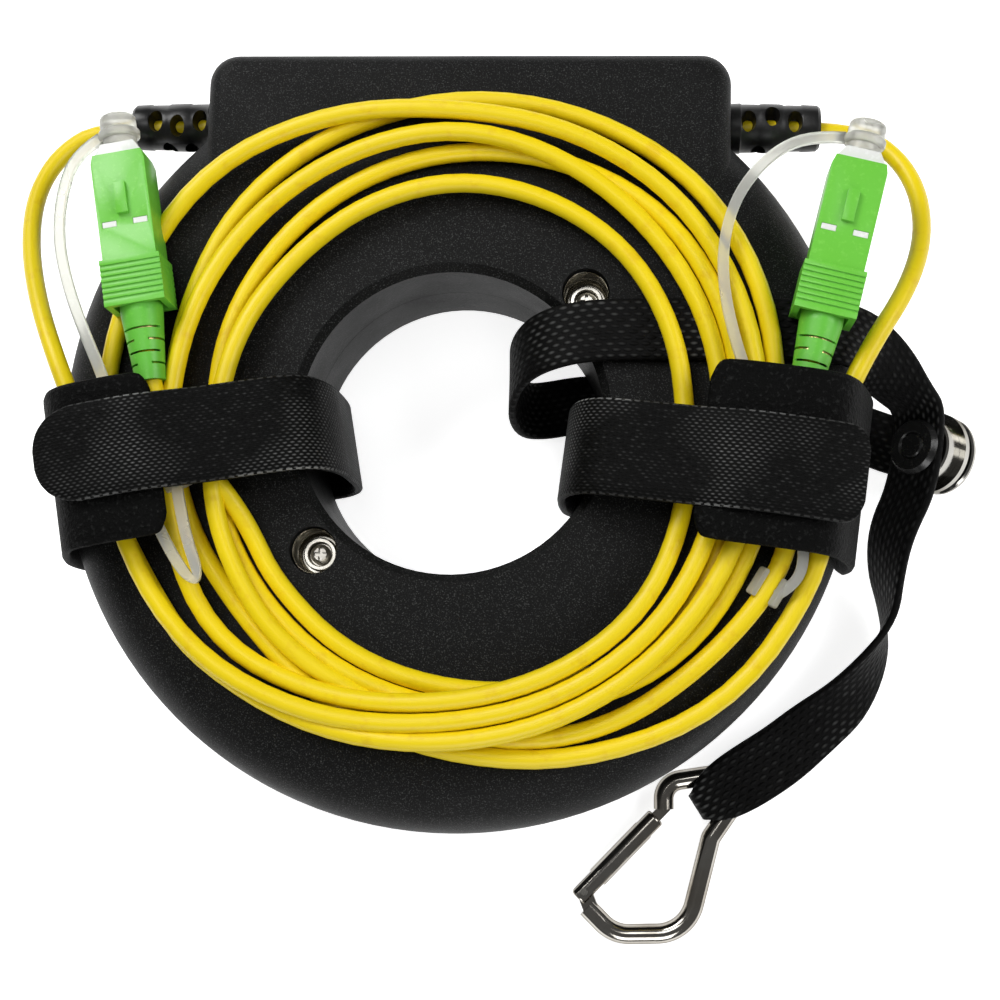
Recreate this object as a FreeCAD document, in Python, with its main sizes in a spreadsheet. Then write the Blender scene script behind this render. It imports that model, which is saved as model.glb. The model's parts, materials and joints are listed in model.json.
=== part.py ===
import FreeCAD, Part
import math
import os
import re
import Sketcher

# Launch fibre ring: a hollow two-shell ring, two coiled leads with push-pull connectors, two textile straps
# and a webbing lanyard with a carabiner. Millimetres. X right, Y up the photograph, Z towards the viewer.
# The straps' undersides lie on Z = 0 and the ring's axis is X = Y = 0. The files written at the end have
# their origin under the middle of the case's outline, half of block_drop below the ring's axis.

SIZES = [
    ("back_lift", 1.6, "floor to the ring's back face, the straps lie between"),
    ("ring_radius", 65, "ring outside"),
    ("hole_radius", 24.4, "hole through the ring"),
    ("half_thickness", 14, "seam to the front or the back face"),
    ("edge_radius", 10, "rounding of the ring's outer edges"),
    ("rim_chamfer", 1.3, "chamfer round the hole's rims"),
    ("wall", 2.2, "shell wall"),
    ("seam_gap", 0.1, "gap between the two shells at the seam"),
    ("block_half_width", 43, "square block, half its width"),
    ("block_shift", 1, "block middle to the right of the ring's axis"),
    ("block_root", 30, "block starts inside the ring here"),
    ("block_drop", 3.6, "block's far edge below the ring's outside"),
    ("block_corner", 5, "block corner radius seen from the front"),
    ("block_edge", 3.5, "rounding of the block's face edges"),
    ("chamber_root", 44, "splice chamber, side nearest the hole"),
    ("boss_pitch", 29.8, "screw pillars' distance from the axis"),
    ("boss_radius", 5.2, "screw pillar radius"),
    ("boss_turn", 45, "angle of the first screw pillar"),
    ("well_radius", 3.8, "screw well radius"),
    ("well_depth", 8.5, "screw well depth from the front face"),
    ("screw_pass", 1.3, "screw hole radius in the front shell"),
    ("pilot_radius", 1.15, "screw pilot radius in the back shell"),
    ("pilot_depth", 9.5, "screw pilot depth below the seam"),
    ("cup_radius", 2.7, "cup outside radius"),
    ("cup_height", 2, "cup height"),
    ("cup_floor", 0.5, "cup floor thickness"),
    ("cup_bore", 1.85, "cup inside radius"),
    ("cup_hole", 1.2, "hole in the cup floor"),
    ("head_radius", 1.65, "screw head radius"),
    ("head_height", 1.5, "screw head height"),
    ("shank_radius", 1.1, "screw shank radius"),
    ("screw_hold", 8.5, "screw's length below the seam"),
    ("cross_length", 2.1, "cross recess, tip to tip"),
    ("cross_width", 0.55, "cross recess width"),
    ("cross_depth", 0.8, "cross recess depth"),
    ("winding_inner", 36.5, "wound fibre, inner radius"),
    ("winding_outer", 56, "wound fibre, outer radius"),
    ("winding_gap", 0.12, "wound fibre to the shell walls"),
    ("winding_slope", 4, "slope at the winding's outer corners"),
    ("sleeve_radius", 1.5, "splice sleeve radius"),
    ("sleeve_length", 36, "splice sleeve length"),
    ("sleeve_inset", 2, "splice sleeve end to the middle"),
    ("sleeve_drop", 7.8, "splice sleeves below the ring's outside"),
    ("boot_drop", 11.9, "lead exit below the ring's outside"),
    ("socket_radius", 3.05, "hole for the strain boot"),
    ("boot_flange", 4.6, "strain boot inner flange radius"),
    ("boot_flange_thick", 1.4, "strain boot inner flange thickness"),
    ("boot_neck", 2.98, "strain boot neck radius"),
    ("boot_fit", 0.05, "strain boot shoulders to the wall"),
    ("boot_root", 3.4, "strain boot radius at the wall"),
    ("boot_waist", 4.2, "strain boot radius at its widest"),
    ("boot_flare", 1.5, "wall to the widest place"),
    ("boot_tip", 3.55, "strain boot radius at the end"),
    ("boot_length", 15.5, "strain boot outside length"),
    ("boot_nose", 1, "slope at the strain boot's end, length"),
    ("boot_nose_in", 0.8, "slope at the strain boot's end, depth"),
    ("boot_bore", 1.56, "strain boot bore radius"),
    ("boot_slot", 2.2, "strain boot window width"),
    ("boot_slot_half", 1.9, "strain boot window half length"),
    ("boot_slot_first", 2.4, "wall to the first window"),
    ("boot_slot_pitch", 3.9, "window pitch"),
    ("lead_radius", 1.5, "lead jacket radius"),
    ("lead_fit", 0.06, "lead to the connector boot's bore"),
    ("coil_x", 4, "lead coil centre across"),
    ("coil_y", -2.5, "lead coil centre up"),
    ("coil_inner", 33, "lead coil inner radius"),
    ("coil_outer", 48.5, "lead coil outer radius"),
    ("coil_rest", 0.1, "lead coil above the front face"),
    ("coil_height", 4.2, "lead coil height"),
    ("coil_bevel", 1.25, "slope at the coil's edges"),
    ("web_relief_x", 26, "relief under the coil for the webbing, start across"),
    ("web_relief_y", 8, "relief under the coil for the webbing, start up"),
    ("web_relief_length", 34, "relief for the webbing, length"),
    ("web_relief_width", 15, "relief for the webbing, width"),
    ("web_relief_height", 1.5, "relief for the webbing, height"),
    ("tie_relief", 0.4, "coil to the tether's collar"),
    ("strap_thick", 1.4, "strap layer thickness"),
    ("strap_width", 15.2, "strap band width"),
    ("strap_head", 28, "width of the strap's wide head"),
    ("strap_head_shift", 1.5, "wide head's offset along its own width"),
    ("strap_head_corner", 4, "corner radius of the wide head"),
    ("left_head_start", 43.5, "left strap's wide head begins this far out"),
    ("right_head_start", 40, "right strap's wide head begins this far out"),
    ("strap_head_low", 8, "wide head ends at this height on the outside"),
    ("strap_tail_start", 40, "strap tail's second layer begins this far out"),
    ("strap_tail_end", 63.5, "strap tail ends this far out"),
    ("left_tail_corner", 7, "left strap tail's corner radius"),
    ("right_tail_corner", 4, "right strap tail's corner radius"),
    ("strap_clear", 0.3, "strap's inner face to the ring's outside"),
    ("strap_bulge", 19.4, "strap's inner face inside the hole"),
    ("strap_rise", 8.8, "strap's inner face above the front face, over the leads"),
    ("left_strap_turn", 190.6, "left strap heading"),
    ("left_strap_shift", -2.65, "left strap offset along its own width"),
    ("right_strap_turn", -6.5, "right strap heading"),
    ("right_strap_shift", -2.1, "right strap offset along its own width"),
    ("left_x", -48.9, "left connector grip, rear middle"),
    ("left_y", 16.2, "left connector grip, rear middle"),
    ("left_turn", 100.3, "left connector heading"),
    ("right_x", 57.5, "right connector grip, rear middle"),
    ("right_y", 15.6, "right connector grip, rear middle"),
    ("right_turn", 76.9, "right connector heading"),
    ("plug_rise", 5.9, "connectors' axes above the front face"),
    ("grip_length", 24.8, "grip length"),
    ("grip_width", 8.6, "grip width at the nose"),
    ("grip_height", 7.2, "grip height at the nose"),
    ("grip_nose_in", 0.4, "slopes at the grip's nose, inwards"),
    ("grip_nose_back", 1.4, "slopes at the grip's nose, lengthwise"),
    ("collar_length", 7.5, "wider rear part of the grip"),
    ("collar_width", 9.6, "rear part width"),
    ("collar_height", 8, "rear part height"),
    ("rib_depth", 0.25, "finger groove depth"),
    ("rib_width", 0.4, "finger groove width"),
    ("rib_first", 0.9, "first finger groove from the rear"),
    ("rib_pitch", 0.9, "finger groove pitch"),
    ("grip_recess", 3.45, "round recess in the grip's rear"),
    ("grip_recess_depth", 4, "depth of that recess"),
    ("key_width", 1.8, "key width"),
    ("key_start", 14.6, "key start"),
    ("key_length", 5, "key length"),
    ("key_height", 0.8, "key height"),
    ("key_sink", 0.2, "key's depth inside the grip"),
    ("peep_start", 12.7, "windows in the grip's face, start"),
    ("peep_length", 1, "windows in the grip's face, length"),
    ("peep_inner", 1.3, "windows, inner end"),
    ("peep_outer", 3.65, "windows, outer end"),
    ("frame_width", 7.3, "plug frame width"),
    ("frame_height", 5.6, "plug frame height"),
    ("frame_nose_in", 1, "slopes at the plug frame's nose, inwards"),
    ("frame_nose_back", 1.6, "slopes at the plug frame's nose, lengthwise"),
    ("frame_fit", 0.08, "plug frame to grip clearance"),
    ("frame_start", 4, "plug frame rear"),
    ("frame_end", 26.8, "plug frame nose"),
    ("frame_bore", 2.2, "plug frame nose bore"),
    ("frame_rear_bore", 2.4, "plug frame rear bore"),
    ("web_start", 14, "inner web of the plug frame"),
    ("web_end", 16, "inner web of the plug frame"),
    ("web_hole", 1.4, "hole in the inner web"),
    ("ferrule_radius", 1.25, "ferrule radius"),
    ("ferrule_tip", 24.2, "ferrule nose"),
    ("ferrule_chamfer", 0.5, "slope at the ferrule's nose"),
    ("ferrule_seat", 11.6, "ferrule holder rear"),
    ("ferrule_holder", 2.1, "ferrule holder radius"),
    ("ferrule_stop", 0.05, "ferrule holder to the web"),
    ("spring_inner", 1.45, "ferrule spring inside radius"),
    ("spring_outer", 2.05, "ferrule spring outside radius"),
    ("spring_gap", 0.04, "spring to its seats"),
    ("stop_rear", 7, "stop body stem behind the grip"),
    ("stop_nose", 5.2, "stop body nose"),
    ("stop_fit", 0.05, "stop body clearance in the frame"),
    ("stop_flange", 2.75, "stop body flange radius"),
    ("stop_flange_start", 2, "stop body flange rear"),
    ("stop_stem", 2, "stop body stem radius"),
    ("stop_bore", 1, "stop body bore"),
    ("crimp_fit", 0.05, "crimp sleeve clearance"),
    ("crimp_wall", 0.45, "crimp sleeve wall"),
    ("crimp_nose", 0.5, "crimp sleeve nose behind the grip's rear"),
    ("cboot_nose", 1.8, "connector boot nose"),
    ("cboot_root", 3.35, "connector boot radius at the grip"),
    ("cboot_tip", 2.35, "connector boot radius at the end"),
    ("cboot_length", 12, "connector boot length behind the grip"),
    ("cboot_step", 8, "connector boot bore step"),
    ("cboot_slit", 0.35, "connector boot slit width"),
    ("cboot_slit_first", 3.6, "first slit behind the grip"),
    ("cboot_slit_pitch", 1.9, "slit pitch"),
    ("cboot_bridge", 1.1, "half width left between slits"),
    ("cboot_shoulder", 1, "straight part of the connector boot behind the grip"),
    ("cap_shank", 2.12, "dust cap shank radius"),
    ("cap_shank_start", 20.5, "dust cap shank start"),
    ("cap_bore", 1.35, "dust cap bore radius"),
    ("cap_bore_end", 25.6, "dust cap bore end"),
    ("cap_flange", 2.7, "dust cap flange radius"),
    ("cap_flange_thick", 1.1, "dust cap flange thickness"),
    ("cap_neck", 1.6, "dust cap neck radius"),
    ("cap_neck_length", 1.6, "dust cap neck length"),
    ("cap_head", 2.9, "dust cap head radius"),
    ("cap_head_length", 2.4, "dust cap head length"),
    ("cap_rounding", 0.8, "rounding of the dust cap's head"),
    ("cap_gap", 0.1, "dust cap flange to the frame nose"),
    ("eye_bore", 1.65, "tether eye bore radius"),
    ("eye_radius", 3.3, "tether eye radius"),
    ("eye_gap", 0.1, "tether eye to the cap's shoulders"),
    ("tether_width", 1.8, "tether strip width"),
    ("tether_thick", 1.3, "tether strip thickness"),
    ("tie_bore", 1.8, "tether collar bore radius"),
    ("tie_radius", 2.7, "tether collar radius"),
    ("tie_length", 4.6, "tether collar length"),
    ("web_width", 10, "lanyard webbing width"),
    ("web_thick", 1.2, "lanyard webbing thickness"),
    ("stud_x", 81.3, "press stud back, middle"),
    ("stud_y", -0.8, "press stud back, middle"),
    ("stud_z", 5.8, "press stud back, middle"),
    ("stud_back_radius", 6.6, "press stud back disc radius"),
    ("stud_back_thick", 1.5, "press stud back disc thickness"),
    ("stud_flange", 6.8, "press stud post flange radius"),
    ("stud_flange_thick", 1, "press stud flange thickness"),
    ("stud_socket_thick", 3.2, "press stud socket thickness"),
    ("stud_socket_radius", 5.6, "press stud socket radius"),
    ("stud_ball", 2.6, "press stud ball radius"),
    ("stud_ball_fit", 0.1, "press stud ball to the socket"),
    ("stud_ball_height", 1.2, "press stud ball height"),
    ("stud_shank", 1.6, "press stud rivet radius"),
    ("stud_pierce", 1.66, "hole pierced in the webbing"),
    ("stud_cap_radius", 4.7, "press stud cap radius"),
    ("stud_cap_thick", 1.25, "press stud cap thickness"),
    ("stud_cap_ring", 2.15, "ring groove on the cap"),
    ("stud_gap", 0.05, "press stud layers apart"),
    ("stud_edge", 0.3, "slopes at the press stud's edges"),
    ("rod_radius", 1.65, "carabiner rod radius"),
    ("rod_z", 2.9, "carabiner rod height at the webbing"),
    ("rod_tilt", 1.5, "carabiner lies down towards the gate"),
    ("gate_radius", 1.75, "gate tube radius"),
    ("gate_bore", 0.95, "gate tube bore radius"),
    ("gate_x", 22.2, "gate pin"),
    ("gate_y", -75, "gate pin"),
    ("gate_turn", 46.9, "gate heading"),
    ("gate_length", 17.3, "gate length in front of the pin"),
    ("gate_back", 1.5, "gate length behind the pin"),
    ("gate_ear", 3.2, "depth of the gate's hinge slot"),
    ("gate_ear_gap", 1, "half width of the gate's hinge slot"),
    ("gate_rim", 0.4, "rounding of the gate's ends"),
    ("nose_slot", 3, "depth of the gate's nose slot"),
    ("nose_slot_half", 0.75, "half width of the nose slot"),
    ("tongue_half", 0.5, "half thickness of the nose tongue"),
    ("tongue_side", 0.9, "half width of the nose tongue"),
    ("tongue_root", 0.7, "nose tongue inside the rod"),
    ("tongue_reach", 3.3, "nose tongue outside the rod"),
    ("plate_half", 0.8, "half thickness of the hinge plate"),
    ("plate_side", 1.25, "half width of the hinge plate"),
    ("plate_root", 0.2, "hinge plate's share inside the rod's last run"),
    ("pin_radius", 0.6, "gate pin radius"),
    ("pin_fit", 0.04, "gate pin clearance"),
    ("pin_inset", 0.25, "gate pin's ends below the gate's surface"),
    ("gspring_wall", 0.3, "gate spring wall"),
    ("gspring_length", 6, "gate spring length"),
    ("gspring_start", 0.3, "hinge slot to the gate spring"),
]
NAMES = sorted((row[0] for row in SIZES), key=len, reverse=True)

# Hand-chosen route points in millimetres, drawn for a front face at DRAWN_FACE.
DRAWN_FACE = 29.6
LANYARD_TURN = 12
LEFT_LOOP = [
    (-41.7, 53.1, 15.6), (-62.8, 53.1, 15.6), (-69.6, 48.4, 17), (-72.8, 40.4, 19.8), (-72, 30.5, 23.8),
    (-68.6, 20, 28.4), (-63.8, 9.5, 32.2), (-58.2, -2.5, 33), (-52.8, -16, 32.4), (-45.4, -29, 31.8),
    (-36.4, -39.3, 32), (-25, -45.6, 33.2), (-12.5, -48.9, 34.2), (0, -49.8, 34.3),
]
RIGHT_LOOP = [
    (43.7, 53.1, 15.6), (64.2, 53.1, 15.6), (71.4, 48.6, 17.1), (75, 41, 20.2), (75, 31.5, 24.6),
    (71.8, 22, 29.2), (66.4, 12.5, 32.2), (61.9, 1.5, 32.8), (59.6, -10, 32.5), (56.8, -23, 31.9),
    (50.5, -34.5, 31.6), (41, -44, 31.5), (29.5, -50, 31.3), (16, -52.3, 31.2), (4, -51.3, 31.2),
    (-5, -49.2, 31.2),
]
LEFT_TAIL = [
    (-47.63, 9.21, 35.5), (-45.86, -0.53, 35.5), (-43.6, -7, 35), (-40.6, -13, 34.2), (-37, -18.8, 33.4),
    (-32.8, -25, 32.4),
]
RIGHT_TAIL = [
    (55.89, 8.69, 35.5), (53.65, -0.96, 35.5), (53.3, -7.5, 35), (53.4, -14.5, 34), (52, -22, 32.9),
    (47.6, -29.5, 32.4), (41.5, -36.5, 31.4), (34, -42, 31.2), (25.5, -45.4, 31.2),
]
LEFT_TETHER = [
    (-57.05, 44, 35.5), (-60.8, 41.4, 35.8), (-62.7, 35, 36), (-62.9, 27.5, 36), (-61, 20, 36),
    (-57.8, 12.3, 36), (-54.4, 5.5, 36), (-51.2, -3, 35.8), (-48, -10.5, 35.6), (-44.6, -17, 35.4),
    (-41.6, -22.6, 35.6), (-38.6, -25.4, 35.8), (-35.9, -24.2, 36), (-36.2, -20.4, 36),
    (-38.4, -15.6, 36.5), (-41.2, -11.4, 36.8),
]
RIGHT_TETHER = [
    (61.06, 44.34, 35.5), (55.6, 44.6, 36), (49.5, 41.5, 36.2), (44.6, 35.5, 36.2), (42.3, 28, 36),
    (42.4, 20, 35.9), (44.5, 11, 35.9), (47.6, 2.5, 36.1), (50.5, -6.5, 36.9), (53.6, -14.5, 37),
    (55, -20.6, 36), (54, -25.4, 34.6), (50.9, -27, 33.2),
]
LEFT_TIE_RUN = (2, 3)
RIGHT_TIE_RUN = (4, 5)

# Lanyard: centre point, direction across the webbing, width factor and thickness factor.
LANYARD = [
    (83.38, -1.79, 10.13, -0.228, -0.967, -0.112, 1, 1), (75.24, 1.16, 1.25, -0.228, -0.967, -0.112, 1, 1),
    (70.5, 2.9, 0.85, -0.25, -0.97, 0, 1, 1), (66, 4.6, 0.78, -0.25, -0.97, 0, 1, 1),
    (45, 8.4, 0.78, -0.16, -0.99, 0, 1, 1), (27, 10.6, 0.78, -0.1, -0.99, 0, 1, 1),
    (20.5, 10.5, 0.85, 0, -1, 0, 1, 1), (13.6, 8.6, 4.2, 0, -1, 0.05, 1, 1),
    (10.2, 7.4, 9, 0, -1, 0, 1, 1), (8.8, 8.2, 15, 0, -1, 0, 1, 1),
    (9.4, 10.2, 21, 0, -1, 0, 1, 1), (12, 12.2, 26.6, 0, -1, 0, 1, 1),
    (16.4, 13.4, 30.6, 0, -1, 0, 1, 1), (22.5, 14.6, 30.7, 0, -1, 0, 1, 1),
    (34, 14.8, 30.5, 0, -1, 0, 1, 1), (46, 15, 30.5, 0.05, -1, 0, 1, 1),
    (55.5, 14.9, 30.3, 0.04, -1, 0, 1, 1), (61.6, 14.9, 28.8, -0.02, -1, -0.04, 1, 1),
    (65.4, 14.4, 25.4, -0.12, -0.98, -0.15, 1, 1), (68.2, 12.9, 21.4, -0.3, -0.83, -0.45, 1, 1),
    (70.9, 10.8, 17.4, -0.5, -0.58, -0.62, 1, 1), (73.6, 8.6, 13.6, -0.6, -0.25, -0.75, 1, 1),
    (77.06, 6.08, 10.56, -0.684, 0.08, -0.725, 1, 1), (75.54, -6.43, 10.61, -0.684, 0.08, -0.725, 1, 1),
    (72, -14.2, 9.6, -0.62, 0.12, -0.77, 1, 1), (71.3, -21, 8.4, -0.42, 0.1, -0.9, 1, 1),
    (72, -27.6, 7, -0.1, 0.02, -0.99, 1, 1), (70.4, -34.5, 5.4, 0.42, -0.16, -0.89, 1, 1),
    (66, -42, 3.4, 0.7, -0.5, -0.5, 1, 1), (60, -47, 2, 0.68, -0.72, -0.12, 1, 1.4),
    (53.6, -52.1, 2.9, 0.547, -0.837, 0, 0.96, 2.4), (49.2, -55, 2.9, 0.547, -0.837, 0, 0.9, 4.6),
    (44.3, -58.2, 2.9, 0.547, -0.837, 0, 0.46, 4.6), (42.2, -59.6, 2.9, 0.547, -0.837, 0, 0.4, 3.4),
]
STUD_ROWS = (0, 22)
STRAP_REACH = 60
RIB_COUNT = 7
TIE_RELIEF_LENGTH = 7
EYE_APEX = (46.85, -56.5)
EYE_HEADING = (-0.837, -0.547)
EYE_POCKET = (-2.5, 4.4, 3.8)
STUD_AXIS = (-0.719, 0.09, 0.689)
ROD_PATH = [
    (35.3, -61, 0), (35.2, -56.6, 3.2), (51, -53.8, 3.4), (43.2, -65.5, 2), (39.4, -81.3, 6.5),
    (27.2, -81.9, 6), (22.75, -77.65, 0),
]

doc = FreeCAD.newDocument("LaunchFibreRing")
sheet = doc.addObject("Spreadsheet::Sheet", "Sizes")
PIECES = []
Z_AXIS = FreeCAD.Vector(0, 0, 1)


def fill_sheet():
    for row, (name, value, note) in enumerate(SIZES, 1):
        sheet.set("A%d" % row, note)
        sheet.set("B%d" % row, str(value))
        sheet.setAlias("B%d" % row, name)
    doc.recompute()


def formula(text):
    """Puts the sheet's name before each alias in a formula."""
    return re.sub(r"\b(%s)\b" % "|".join(NAMES), r"Sizes.\1", str(text))


def size(text):
    value = sheet.evalExpression(formula(text))
    return float(getattr(value, "Value", value))


def bind(target, prop, text):
    target.setExpression(prop, formula(text))


def vec(*values):
    return FreeCAD.Vector(*values)


def keep(target, label):
    """Registers a finished piece under the name of its file."""
    target.Label = label
    PIECES.append(target)
    return target


def shape_piece(label, shape):
    feature = doc.addObject("Part::Feature", label)
    feature.Shape = shape
    return keep(feature, label)


# Sketch outlines and features.

def new_body(label):
    return doc.addObject("PartDesign::Body", label)


def new_sketch(body, name, plane, offset):
    sketch = body.newObject("Sketcher::SketchObject", name)
    origin = [f for f in body.Origin.OriginFeatures if f.Role == plane + "_Plane"][0]
    sketch.AttachmentSupport = [(origin, "")]
    sketch.MapMode = "FlatFace"
    if offset != "0":
        bind(sketch, "AttachmentOffset.Base.z", offset)
    return sketch


def pin_point(sketch, geometry, point, x, y):
    """Ties a sketch point to two formulas."""
    for kind, text in (("DistanceX", x), ("DistanceY", y)):
        index = sketch.addConstraint(Sketcher.Constraint(kind, -1, 1, geometry, point, size(text)))
        sketch.setExpression("Constraints[%d]" % index, formula(text))


def arc_between(start, end, radius, turn):
    chord = end - start
    side = vec(-chord.y, chord.x, 0).normalize()
    rise = math.sqrt(max(radius ** 2 - (chord.Length / 2) ** 2, 0))
    centre = (start + end) * 0.5 + side * rise * turn
    first, last = (start, end) if turn > 0 else (end, start)
    angles = [math.atan2(p.y - centre.y, p.x - centre.x) for p in (first, last)]
    return Part.ArcOfCircle(Part.Circle(centre, Z_AXIS, radius), angles[0], angles[1])


def outline(sketch, path):
    """Draws one closed outline. A step is (x, y), or (x, y, radius, turn) for an arc arriving there."""
    corners = [vec(size(step[0]), size(step[1]), 0) for step in path]
    ends = []
    for i, step in enumerate(path):
        start, end = corners[i - 1], corners[i]
        if len(step) == 2:
            ends.append((sketch.addGeometry(Part.LineSegment(start, end)), 1, 2))
            continue
        arc = sketch.addGeometry(arc_between(start, end, size(step[2]), step[3]))
        ends.append((arc, 1, 2) if step[3] > 0 else (arc, 2, 1))
    for i, (geometry, first, last) in enumerate(ends):
        following = ends[(i + 1) % len(ends)]
        sketch.addConstraint(Sketcher.Constraint("Coincident", geometry, last, following[0], following[1]))
    for i, step in enumerate(path):
        pin_point(sketch, ends[i][0], ends[i][2], step[0], step[1])
        if len(step) == 4:
            index = sketch.addConstraint(Sketcher.Constraint("Radius", ends[i][0], size(step[2])))
            sketch.setExpression("Constraints[%d]" % index, formula(step[2]))


def draw(body, name, plane, *paths, offset="0"):
    sketch = new_sketch(body, name, plane, offset)
    for path in paths:
        outline(sketch, path)
    return sketch


def draw_circles(body, name, plane, circles, offset="0"):
    sketch = new_sketch(body, name, plane, offset)
    for x, y, radius in circles:
        circle = Part.Circle(vec(size(x), size(y), 0), Z_AXIS, size(radius))
        geometry = sketch.addGeometry(circle)
        pin_point(sketch, geometry, 3, x, y)
        index = sketch.addConstraint(Sketcher.Constraint("Radius", geometry, size(radius)))
        sketch.setExpression("Constraints[%d]" % index, formula(radius))
    return sketch


def box_path(x0, y0, x1, y1):
    return [(x0, y0), (x1, y0), (x1, y1), (x0, y1)]


def finish_feature(body, feature, adds):
    """Recomputes and makes sure that the feature added or removed material."""
    before = body.Shape.Volume if not body.Shape.isNull() else 0
    doc.recompute()
    change = feature.Shape.Volume - before
    if (change > 0) != adds or abs(change) < 1e-4:
        raise RuntimeError("%s changed %s by %.4f" % (feature.Name, body.Label, change))
    return feature


def pad(body, sketch, length, reverse=False):
    feature = body.newObject("PartDesign::Pad", "Pad")
    feature.Profile = sketch
    feature.Reversed = reverse
    bind(feature, "Length", length)
    return finish_feature(body, feature, True)


def pocket(body, sketch, length=None, reverse=False):
    """Cuts against the sketch's normal, along it when reversed, or right through both ways."""
    feature = body.newObject("PartDesign::Pocket", "Pocket")
    feature.Profile = sketch
    feature.Reversed = reverse
    if length is None:
        feature.SideType = "Symmetric"
        feature.Type = "ThroughAll"
    else:
        bind(feature, "Length", length)
    return finish_feature(body, feature, False)


def revolve(body, sketch):
    feature = body.newObject("PartDesign::Revolution", "Revolution")
    feature.Profile = sketch
    feature.ReferenceAxis = (sketch, ["V_Axis"])
    feature.Angle = 360
    return finish_feature(body, feature, True)


def groove(body, sketch):
    feature = body.newObject("PartDesign::Groove", "Groove")
    feature.Profile = sketch
    feature.ReferenceAxis = (sketch, ["V_Axis"])
    feature.Angle = 360
    return finish_feature(body, feature, False)


def turned(label, path):
    """A turned piece: its half section revolved about its own Z axis."""
    body = new_body(label)
    revolve(body, draw(body, "Section", "XZ", path))
    return body


def place(target, origin, z_dir, y_dir):
    across = y_dir.cross(z_dir)
    target.Placement = FreeCAD.Placement(origin, FreeCAD.Rotation(across, y_dir, z_dir, "ZYX"))
    return target


# Routes: straight runs joined by tangent arcs.

def corner_arc(before, corner, after, radius=None):
    """Arc that rounds a corner, as its two end points and its middle, with its radius."""
    inward, outward = before - corner, after - corner
    shorter = min(inward.Length, outward.Length)
    inward.normalize()
    outward.normalize()
    turn = math.pi - inward.getAngle(outward)
    trim = 0.45 * shorter if radius is None else radius * math.tan(turn / 2)
    radius = trim / math.tan(turn / 2)
    middle_way = (inward + outward).normalize()
    middle = corner + middle_way * (radius / math.cos(turn / 2) - radius)
    return corner + inward * trim, middle, corner + outward * trim, radius


def route_wire(points, radii=None):
    """Wire through hand-chosen points, with its smallest bend radius."""
    edges, start, smallest = [], points[0], 1e9
    for i in range(1, len(points) - 1):
        fixed = radii[i] if radii else None
        first, middle, last, radius = corner_arc(points[i - 1], points[i], points[i + 1], fixed)
        edges.append(Part.LineSegment(start, first).toShape())
        edges.append(Part.Arc(first, middle, last).toShape())
        start, smallest = last, min(smallest, radius)
    edges.append(Part.LineSegment(start, points[-1]).toShape())
    return Part.Wire(edges), smallest


def tube(name, points, radius, radii=None):
    wire, smallest = route_wire(points, radii)
    ring = Part.Circle(points[0], points[1] - points[0], radius).toShape()
    solid = wire.makePipeShell([Part.Wire(ring)], True, False)
    expected = math.pi * radius ** 2 * wire.Length
    print("%s: length %.1f, smallest bend %.1f, volume %.3f of section x length"
          % (name, wire.Length, smallest, solid.Volume / expected))
    return solid


def closed_loop(corners):
    """Closed wire of straight runs with rounded corners (u, z, radius) in the XZ plane."""
    points = [vec(u, 0, z) for u, z, radius in corners]
    arcs = []
    for i, (u, z, radius) in enumerate(corners):
        following = points[(i + 1) % len(points)]
        arcs.append(corner_arc(points[i - 1], points[i], following, radius))
    edges = []
    for i, arc in enumerate(arcs):
        edges.append(Part.Arc(arc[0], arc[1], arc[2]).toShape())
        edges.append(Part.LineSegment(arc[2], arcs[(i + 1) % len(arcs)][0]).toShape())
    return Part.Wire(edges)


def on_face(z, start):
    """Height of a drawn point, moved with the front face from the height start upwards."""
    share = min(max((z - start) / (DRAWN_FACE - start), 0), 1)
    return z + share * (size("back_lift + 2 * half_thickness") - DRAWN_FACE)


def points_of(rows, start=None):
    start = size("back_lift") if start is None else start
    return [vec(x, y, on_face(z, start)) for x, y, z in (row[:3] for row in rows)]


# The case.

def housing_half(label, side):
    """One shell. side is 1 for the front shell and -1 for the back shell."""
    def z(depth):
        return "back_lift + half_thickness + %d * (%s)" % (side, depth)

    body = new_body(label)
    lip = "seam_gap / 2"
    left, right = "block_shift - block_half_width", "block_shift + block_half_width"
    top = "ring_radius - block_drop"
    plan = [(left, "block_root"), (right, "block_root"), (right, top + " - block_corner"),
            (right + " - block_corner", top, "block_corner", 1), (left + " + block_corner", top),
            (left, top + " - block_corner", "block_corner", 1)]
    pad(body, draw(body, "BlockPlan", "XY", plan, offset=z(lip)), "half_thickness - seam_gap / 2", side < 0)
    round_block_edges(body, size(z("half_thickness")))
    ring = [("hole_radius", z(lip)), ("ring_radius", z(lip)),
            ("ring_radius", z("half_thickness - edge_radius")),
            ("ring_radius - edge_radius", z("half_thickness"), "edge_radius", side),
            ("hole_radius + rim_chamfer", z("half_thickness")),
            ("hole_radius", z("half_thickness - rim_chamfer"))]
    revolve(body, draw(body, "RingSection", "XZ", ring))
    trim_ring(body, side, z)
    hollow_shell(body, side, z)
    pillars(body, side, z)
    sockets = draw_circles(body, "BootSockets", "YZ", [("ring_radius - boot_drop", z("0"), "socket_radius")])
    pocket(body, sockets)
    return keep(body, label)


def round_block_edges(body, face_z):
    names = []
    for i, edge in enumerate(body.Shape.Edges, 1):
        if all(abs(v.Z - face_z) < 1e-6 for v in edge.Vertexes):
            names.append("Edge%d" % i)
    block = body.Tip
    feature = body.newObject("PartDesign::Fillet", "BlockRounding")
    feature.Base = (block, names)
    bind(feature, "Radius", "block_edge")
    finish_feature(body, feature, False)


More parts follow.
